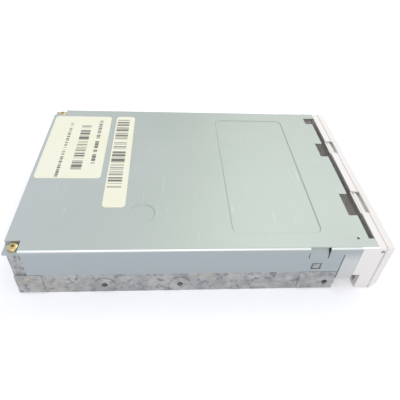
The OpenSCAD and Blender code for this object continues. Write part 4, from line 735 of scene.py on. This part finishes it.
# %% [markdown]
# ## Cross-head screws
# The two cover screws at the rear are small pan heads in yellow zinc, and the boards are held by
# plain zinc ones. The head is a turned dome. Its recess is cut with a tapered cross, as the
# punch does, because a painted cross would not catch the light.

# %% Screw builder


def pan_head(diameter, height, shank_diameter, shank_length):
    """A screw standing on its seat at the origin, its head up, with a real cross recess."""
    r, s = diameter / 2, shank_diameter / 2
    body = lathe([(0, -shank_length), (s * 0.7, -shank_length), (s, -shank_length + s / 2), (s, 0), (r, 0),
                  (r, height * 0.35), (r * 0.93, height * 0.68), (r * 0.76, height * 0.88),
                  (r * 0.45, height * 0.98), (0, height)], 40)
    screw = put("screw", body)
    punch = bmesh.new()
    for angle in (0, math.pi / 2):
        wing = bmesh.ops.create_cube(punch, size=1)["verts"]
        for corner in wing:
            taper = 1.0 if corner.co.z > 0 else 0.35
            corner.co = Vector((corner.co.x * diameter * 0.56 * taper, corner.co.y * diameter * 0.13,
                                height + corner.co.z * height * 1.3)) * MM
        bmesh.ops.rotate(punch, verts=wing, matrix=Matrix.Rotation(angle, 3, "Z"))
    cutter = put("punch", mesh_of(punch, "punch"))
    cut = screw.modifiers.new("recess", "BOOLEAN")
    cut.operation = "DIFFERENCE"
    cut.use_self = True
    cut.object = cutter
    settle(screw)
    mesh = screw.data
    bpy.data.objects.remove(screw)
    bpy.data.objects.remove(cutter)
    return mesh


def seated(x, y, z, turned=0.0, down=False):
    """Places a screw with its seat at a point in mm, head up or head down."""
    flip = Matrix.Rotation(math.pi, 4, "X") if down else Matrix()
    return Matrix.Translation(metres(x, y, z)) @ flip @ Matrix.Rotation(turned, 4, "Z")


cover_screw = pan_head(4.2, 1.3, 2.5, 7.2)
print("a cover screw has", len(cover_screw.polygons), "faces")

# %% Screws
# each rear screw's seat in mm, and how far it is turned
REAR_SEATS = ((-47.65, 70.9, 23.9, -0.3), (47.65, 70.9, 23.9, 0.7))
cover_screws = joined([(cover_screw, seated(*place)) for place in REAR_SEATS])
place_piece("cover_screw_pair", cover_screws, [yellow_zinc], "drive", "yellow_zinc", "cover_screws")

BOARD_LOW = 3.0
small_screw = pan_head(3.6, 1.1, 1.9, 2.6)
board_places = [(x, behind_edge(v)) for x, v in ((-34, 26), (34, 26), (-34, 86), (34, 86), (-38.02, 102.92),
                                                 (-38.02, 125.06), (1.48, 102.92))]
board_screws = joined([(small_screw, seated(x, y, BOARD_LOW, 0.7 * i, down=True))
                       for i, (x, y) in enumerate(board_places)])
place_piece("board_screw_set", board_screws, [steel_screw], "drive", "turned_steel", "board_screws")

BRACKET_SCREW_X, BRACKET_SEAT_Z = 23.6, 6.8
bracket_screw = pan_head(3.6, 1.1, 1.9, 2.2)
bracket_screws = joined([(bracket_screw, seated(BRACKET_SCREW_X, behind_edge(v), BRACKET_SEAT_Z, v))
                         for v in (80, 109)])
place_piece("bracket_screw_pair", bracket_screws, [steel_screw], "drive", "turned_steel", "bracket_screws")
print(2 + len(board_places) + 2, "screws with real recesses")

# %% [markdown]
# ## Pull springs of the slide
# Two close-wound springs pull the slide forward once the latch lever lets it go. Each turn of wire
# is real here, and each end has its loop: one round the frame's post and one hooked through the
# slide's tab. As the slide goes forward the springs get shorter, but they are built here at one length.

# %% Pull springs
SPRING_X = 42.5
SPRING_Z = 9.6
SPRING_COIL_R = 1.45
SPRING_WIRE_R = 0.25
POST_Y = behind_edge(24)
TAB_HOLE_Y = behind_edge(60)
POST_LOOP_R = 1.42
POST_END, TAB_END = 4.6, 5.4


def pull_spring(side):
    """Path of one spring: loop round the post, close coils, hook through the tab."""
    start, end = POST_Y + POST_END, TAB_HOLE_Y - TAB_END
    turns = int((end - start) / (2.15 * SPRING_WIRE_R))
    x = side * SPRING_X
    path = [(x + POST_LOOP_R * math.sin(a), POST_Y - POST_LOOP_R * math.cos(a), SPRING_Z)
            for a in (math.radians(d) for d in range(200, -121, -20))][::-1]
    path += [(x + out, POST_Y + run, SPRING_Z + up)
             for out, run, up in ((0.55, 2.3, 0), (0.2, 3.3, 0.35), (0.1, 4.1, 1.1))]
    path += [(x + out, start + along, SPRING_Z + up)
             for along, up, out in coil(SPRING_COIL_R, (end - start) / turns, 0, turns * TURN_STEPS)]
    return path + [(x, end + run, SPRING_Z + up) for run, up in (
        (0.7, 0.9), (1.6, 0.2), (3.2, 0), (TAB_END - 0.5, -0.3), (TAB_END, -1.0), (TAB_END, -2.4))]


springs = joined([(sweep(pull_spring(side), ring(SPRING_WIRE_R)), Matrix()) for side in (-1, 1)])
pull_springs = place_piece("pull_spring_pair", springs, [spring_wire], "drive", "spring_steel",
                           "slide_springs")
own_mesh(pull_springs)
print(len(springs.polygons), "faces of wound wire")

# %% [markdown]
# ## Door spring and lever spring
# A small torsion coil sits on the door's left pin. One leg bears on the bezel's roof and stays,
# and the other leans on the door and turns with it. The latch lever has the same kind of spring
# round its rivet. Coil and fixed leg are one piece, and the moving leg is a piece of its own.

# %% Torsion springs
PIVOT_Y, PIVOT_Z = DOOR_AXIS
DOOR_COIL_R, DOOR_COIL_X, DOOR_LEG_X = 0.98, -45.45, -43.25
wire = ring(0.2)
door_path = [(DOOR_COIL_X, PIVOT_Y + run, PIVOT_Z + DOOR_COIL_R) for run in (4.6, 2)]
door_path += [(DOOR_COIL_X + x, PIVOT_Y + y, PIVOT_Z + z) for x, y, z in coil(DOOR_COIL_R, 0.42, 3, 60)]
door_coil = sweep(door_path, wire)
place_piece("door_spring_coil", door_coil, [spring_wire], "drive", "spring_steel", "door_spring")
door_leg = [(DOOR_LEG_X, PIVOT_Y + y, PIVOT_Z + z)
            for y, z in ((-DOOR_COIL_R, 0.3), (-1.05, -0.8), (-1.6, -2.6), (-2.2, -4.6))]
place_piece("door_spring_leg", sweep(door_leg, wire), [spring_wire], "door", "spring_steel")

RIVET_X, RIVET_Y = -30.6, behind_edge(90)
LEVER_COIL_R, COIL_LOW, COIL_HIGH = 1.75, 20.92, 21.9
lever_path = [(RIVET_X + x, RIVET_Y + y, COIL_LOW + z) for z, x, y in coil(LEVER_COIL_R, 0.392, 0, 30)]
lever_path += [(RIVET_X - LEVER_COIL_R, RIVET_Y - run, COIL_HIGH) for run in (2.5, 6.6)]
lever_coil = sweep(lever_path, wire)
place_piece("lever_spring_coil", lever_coil, [spring_wire], "holder", "spring_steel", "latch_spring")
lever_leg = [(RIVET_X + x, RIVET_Y + y, COIL_LOW) for x, y in ((LEVER_COIL_R, 0.5), (1.8, 3), (2.0, 5.6))]
place_piece("lever_spring_leg", sweep(lever_leg, wire), [spring_wire], "lever", "spring_steel")
print("torsion springs on the door's pin and on the rivet")

# %% [markdown]
# ## Lead screw
# The stepper motor's shaft is a rod with one coarse spiral groove. A full turn moves the heads by
# its lead, 3.75 mm, which is twenty steps of a track each. The groove is modelled as a dip in the
# rod's radius that runs round as it runs along.

# %% Lead screw
SCREW_X, SCREW_Z = 18.0, 10.5
SCREW_R = 1.5
LEAD = 3.75
GROOVE_DEPTH = 0.35
GROOVE_SHARE = 0.28
GROOVE_SPAN = (79, 110)
ROD_SPAN = (77, 127.1)
ROD_SIDES, ROD_STEPS, ROD_CHAMFER = 28, 250, 0.25


def groove_depth(y, angle):
    """Depth of the groove at a place along the rod and an angle round it."""
    if not behind_edge(GROOVE_SPAN[0]) < y < behind_edge(GROOVE_SPAN[1]):
        return 0.0
    phase = (y / LEAD + angle / (2 * math.pi)) % 1.0
    share = abs(phase - 0.5) / (GROOVE_SHARE / 2)
    return GROOVE_DEPTH * max(0.0, 1 - share * share) if share < 1 else 0.0


form = bmesh.new()
rows = []
rod_start, rod_end = (behind_edge(v) for v in ROD_SPAN)
for k in range(ROD_STEPS + 1):
    y = rod_start + (rod_end - rod_start) * k / ROD_STEPS
    rod_r = SCREW_R - (ROD_CHAMFER if k in (0, ROD_STEPS) else 0.0)
    row = []
    for i in range(ROD_SIDES):
        angle = 2 * math.pi * i / ROD_SIDES
        r = rod_r - groove_depth(y, angle)
        row.append(form.verts.new(metres(SCREW_X + r * math.cos(angle), y, SCREW_Z + r * math.sin(angle))))
    rows.append(row)
threaded = skin(form, rows, "lead_screw_threaded")
place_piece("lead_screw_threaded", threaded, [turned_steel], "screw", "turned_steel", "lead_screw")
print("lead screw with", round((GROOVE_SPAN[1] - GROOVE_SPAN[0]) / LEAD, 1), "turns of groove")

# %% [markdown]
# ## Head cable and arm hinge
# A flat film cable joins the moving carriage to its socket. It arches up behind the carriage and
# turns down behind the frame's floor, and the arch gives way as the carriage goes forward. Here it
# is swept once along that route as it lies at rest, on no body. The upper arm hangs on a strip of
# spring steel, which bends in the same way, and it too is swept once, at a fixed lift of 8 degrees.

# %% Film cable
CABLE_X, CABLE_START, CABLE_END = -0.3, 51.6, behind_edge(130.5)
CABLE_HIGH, CABLE_LOW, FOLD_R = 8.45, 5.05, 1.7
CABLE_HALF_W, CABLE_HALF_T = 4, 0.12
END_RUN, BLEND_IN = 0.3, 0.5
HEAD_TRAVEL = 14.8


def bend(y, z, radius, start, turn, steps):
    """Points of a cable bend in the plane along the drive; angles are in quarter turns."""
    angles = [(start + turn * k / steps) * math.pi / 2 for k in range(steps + 1)]
    return [(CABLE_X, y + radius * math.cos(a), z + radius * math.sin(a)) for a in angles]


def strip(half_width, half_thickness):
    """The flat section of a strip for sweep()."""
    return [(a * half_width, b * half_thickness) for a, b in ((-1, -1), (1, -1), (1, 1), (-1, 1))]


rise_y, fall_y = CABLE_START + END_RUN + FOLD_R, CABLE_END + FOLD_R
arch_r = (fall_y - rise_y) / 2
legs = HEAD_TRAVEL - (math.pi - 2) * arch_r
arch_z = (legs + CABLE_HIGH + CABLE_LOW) / 2 + FOLD_R
cable_path = [(CABLE_X, CABLE_START, CABLE_HIGH)]
cable_path += bend(rise_y - FOLD_R, CABLE_HIGH + FOLD_R, FOLD_R, -1, 1, 8)
cable_path += bend(rise_y + arch_r, arch_z, arch_r, 2, -2, 24)
cable_path += bend(CABLE_END, CABLE_LOW + FOLD_R, FOLD_R, 0, -1, 8)
cable_path.append((CABLE_X, CABLE_END - END_RUN, CABLE_LOW))
cable = sweep(cable_path, strip(CABLE_HALF_W, CABLE_HALF_T))
film_cable = place_piece("head_film_cable", cable, [flex_film], None, "flex_film", "head_flex_cable")
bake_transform(film_cable)
cable_l = sum(math.dist(a, b) for a, b in zip(cable_path, cable_path[1:]))
print("cable is", round(cable_l, 1), "mm long")

# %% Arm leaf
HINGE_Y, LEAF_Z = 49.6, 16.4
LEAF_HALF_W, LEAF_HALF_T = 6, 0.09
ARM_UP = math.radians(8)
leaf_path = [(0, HINGE_Y + 2, LEAF_Z), (0, HINGE_Y + 1, LEAF_Z), (0, HINGE_Y, LEAF_Z + 0.02)]
leaf_path += [(0, HINGE_Y - run * math.cos(ARM_UP), LEAF_Z + 0.05 + run * math.sin(ARM_UP))
              for run in (1, 2, 3, 4, 4.8)]
leaf = sweep(leaf_path, strip(LEAF_HALF_W, LEAF_HALF_T))
hinge_leaf = place_piece("arm_leaf", leaf, [spring_wire], None, "spring_steel", "arm_hinge_leaf")
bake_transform(hinge_leaf)

# %% [markdown]
# ## Capacitors
# Two small electrolytic capacitors stand on the controller board. Each is a drawn can in a shrink
# sleeve that folds over its top rim and leaves the bare metal of the vent in the middle, with a
# bead pressed in near its foot. The sleeve and the bare metal are two finishes on one turned mesh.

# %% Capacitors
VENT_R, VENT_Z = 1.36, 5.28
BOARD_HALF_W, BOARD_START, BOARD_LENGTH, BOARD_TOP = 43.5, behind_edge(98), 41.0, 4.2
can = lathe([(0, 0), (1.75, 0), (1.92, 0.15), (2.0, 0.45), (2.0, 0.8), (1.82, 1.05), (2.0, 1.3),
             (2.0, 4.9), (1.9, 5.25), (1.7, 5.4), (1.4, 5.4), (VENT_R, VENT_Z), (0, VENT_Z)], 36)
for face in can.polygons:
    if face.center.z > (VENT_Z - 0.01) * MM and face.center.xy.length < (VENT_R + 0.02) * MM:
        face.material_index = 1
places = [metres(across * BOARD_HALF_W, BOARD_START + along * BOARD_LENGTH, BOARD_TOP)
          for across, along in ((-0.62, 0.79), (-0.45, 0.79))]
cans = joined([(can, Matrix.Translation(place)) for place in places])
place_piece("sleeved_capacitors", cans, [sleeve, silver_can], "drive", "capacitor_sleeve",
            "board_capacitors")
print(len(places), "capacitors")

# %% [markdown]
# ## Small parts and solder under the boards
# From below, the boards show rows of tiny chip resistors and capacitors, and the solder cones of
# the connectors' pins. They are too small to matter to the solid model, and are built here in
# their real sizes, 2.0 by 1.25 mm and less, on a loose grid as a board is laid out.

# %% Chip parts
SPINDLE_Y = behind_edge(48)
random.seed(5)


def chip_part(length, width, height):
    """A ceramic chip part that hangs under a board: a body and two metal end caps of another finish."""
    form = bmesh.new()
    for low, high, grow, index in ((-0.5, -0.3, 0.02, 1), (-0.3, 0.3, 0.0, 0), (0.3, 0.5, 0.02, 1)):
        made = bmesh.ops.create_cube(form, size=1)["verts"]
        for corner in made:
            corner.co = Vector(((low if corner.co.x < 0 else high) * length,
                                corner.co.y * (width + 2 * grow),
                                -(height + grow) if corner.co.z < 0 else 0)) * MM
        for face in {f for v in made for f in v.link_faces}:
            face.material_index = index
    return mesh_of(form, "chip part")


big_part = chip_part(2.0, 1.25, 0.6)
small_part = chip_part(1.6, 0.8, 0.45)
# free fields of the boards: X from and to, place behind the edge from and to, and pitch, in mm
FIELDS = [(-30, -12, 30, 44, 4.2), (-8, 26, 78, 90, 4.0), (-14, 3, 107, 134, 3.9), (-34, -12, 18, 24, 4.4),
          (10, 31, 17, 27, 4.2)]
SCREW_CLEAR = 3.4
# the boards' chips: X, Y and the radius to keep clear, in mm
CHIPS = [(-19, SPINDLE_Y + 23.56, 7.2), (17.1, SPINDLE_Y + 7.6, 7.2), (-19.6, BOARD_START + 18.45, 9.6),
         (-35.7, BOARD_START + 20.5, 5.5)]
TURNED_SHARE, SKIPPED_SHARE, BIG_SHARE = 0.45, 0.3, 0.5
keep_out = [(x, y, SCREW_CLEAR) for x, y in board_places] + CHIPS
parts = []
for x0, x1, v0, v1, pitch in FIELDS:
    for i in range(int((x1 - x0) / pitch) + 1):
        for j in range(int((v1 - v0) / pitch) + 1):
            x, y = x0 + i * pitch, behind_edge(v0 + j * pitch)
            kind, turned, skipped = random.random(), random.random(), random.random()
            if skipped < SKIPPED_SHARE or any(math.hypot(x - a, y - b) < r for a, b, r in keep_out):
                continue
            spin = Matrix.Rotation(math.pi / 2 if turned < TURNED_SHARE else 0, 4, "Z")
            place = Matrix.Translation(metres(x, y, BOARD_LOW)) @ spin
            parts.append((big_part if kind < BIG_SHARE else small_part, place))
chip_ceramic = surface("fired_chip_ceramic", ("#8C7355", "#3B3B40"), 5.5, 0.2, 0.004, (0.35, 0.45))
place_piece("chip_parts", joined(parts), [chip_ceramic, tin_dip], "drive", "chip_epoxy")
print(len(parts), "chip parts")

# %% Solder cones
# each socket's first pin, and its pins' pitch, in mm
DATA_PINS, DATA_PITCH = (-12.32, 68.13), 2.54
POWER_PINS, POWER_PITCH = (-36.75, 69.0), 2.5
cone = lathe([(0, 0), (0.85, 0), (0.6, -0.25), (0.38, -0.6), (0.32, -0.95), (0, -1.05)], 14)
pins = [(DATA_PINS[0] + i * DATA_PITCH, DATA_PINS[1] + j * DATA_PITCH) for i in range(17) for j in range(2)]
pins += [(POWER_PINS[0] + i * POWER_PITCH, POWER_PINS[1]) for i in range(4)]
cones = [(cone, Matrix.Translation(metres(x, y, BOARD_LOW))) for x, y in pins]
place_piece("solder_cones", joined(cones), [tin_dip], "drive", "tin_pin")
print(len(cones), "solder cones")

# %% [markdown]
# ## Studio
# The drive lies on white paper in a bright, even room. A broad soft lamp high on the far side
# gives the top its light and leaves the near flange in a cooler shade, which painted shade in the
# cover's finish deepens, with a soft shadow round the foot. The paper and the room are pure white to
# the camera and in reflections only, so the light on the drive stays plain.

# %% Floor and world
FLOOR_HALF, FLOOR_Z = 3.0, -0.02 * MM
PAPER_GLOW, ROOM_LIGHT = 0.32, 0.72


def in_picture(tree):
    """Output that is 1 for rays of the camera, of a reflection and through glass, and 0 for light."""
    rays = add(tree, "LightPath").outputs
    seen = add(tree, "Math", {0: rays["Is Camera Ray"], 1: rays["Is Glossy Ray"]}, operation="MAXIMUM")
    shown = add(tree, "Math", {0: seen.outputs[0], 1: rays["Is Transmission Ray"]}, operation="MAXIMUM")
    return shown.outputs[0]


floor_mesh = bpy.data.meshes.new("paper_sweep")
corners = [(x * FLOOR_HALF, y * FLOOR_HALF, FLOOR_Z) for x, y in ((-1, -1), (1, -1), (1, 1), (-1, 1))]
floor_mesh.from_pydata(corners, [], [(0, 1, 2, 3)])
floor = put("paper_sweep", floor_mesh)

paper = bpy.data.materials.new("white_studio_paper")
paper.use_nodes = True
tree = paper.node_tree
tree.nodes.clear()
matt = add(tree, "BsdfDiffuse", {"Color": linear("#F4F4F8")})
lifted = add(tree, "Math", {0: in_picture(tree), 1: PAPER_GLOW}, operation="MULTIPLY")
glow = add(tree, "Emission", {"Color": (1, 1, 1, 1), "Strength": lifted.outputs[0]})
both = add(tree, "AddShader", {0: matt.outputs[0], 1: glow.outputs[0]})
add(tree, "OutputMaterial", {"Surface": both.outputs[0]})
floor_mesh.materials.append(paper)

world = bpy.data.worlds.new("bright_room")
bpy.context.scene.world = world
world.use_nodes = True
tree = world.node_tree
tree.nodes.clear()
room = add(tree, "Background", {"Color": linear("#F2F3FA"), "Strength": ROOM_LIGHT})
white = add(tree, "Background", {"Color": (1, 1, 1, 1)})
either = add(tree, "MixShader", {0: in_picture(tree), 1: room.outputs[0], 2: white.outputs[0]})
add(tree, "OutputWorld", {"Surface": either.outputs[0]})
print("white floor and room")

# %% [markdown]
# ## Lamps
# The key lamp is as large as a window, so that its shadow has no hard rim. A second, weaker one
# stands behind the camera. Its reflection and a painted highlight in the cover's finish together
# draw the bright line along the fold of the cover.

# %% Lamps
# place, size in metres and power in watts
LAMPS = {
    "window_lamp": (metres(420, -260, 620), 0.55, 1.6),
    "line_lamp": (metres(-560, 60, 560), 0.30, 1.0),
}
for name, (place, size, power) in LAMPS.items():
    lamp = put(name, bpy.data.lights.new(name, "AREA"))
    lamp.data.size = size
    lamp.data.energy = power
    lamp.location = place
    lamp.rotation_euler = (-place).to_track_quat("-Z", "Y").to_euler()
    print(name, power, "W")

bpy.context.scene.view_settings.view_transform = "Standard"
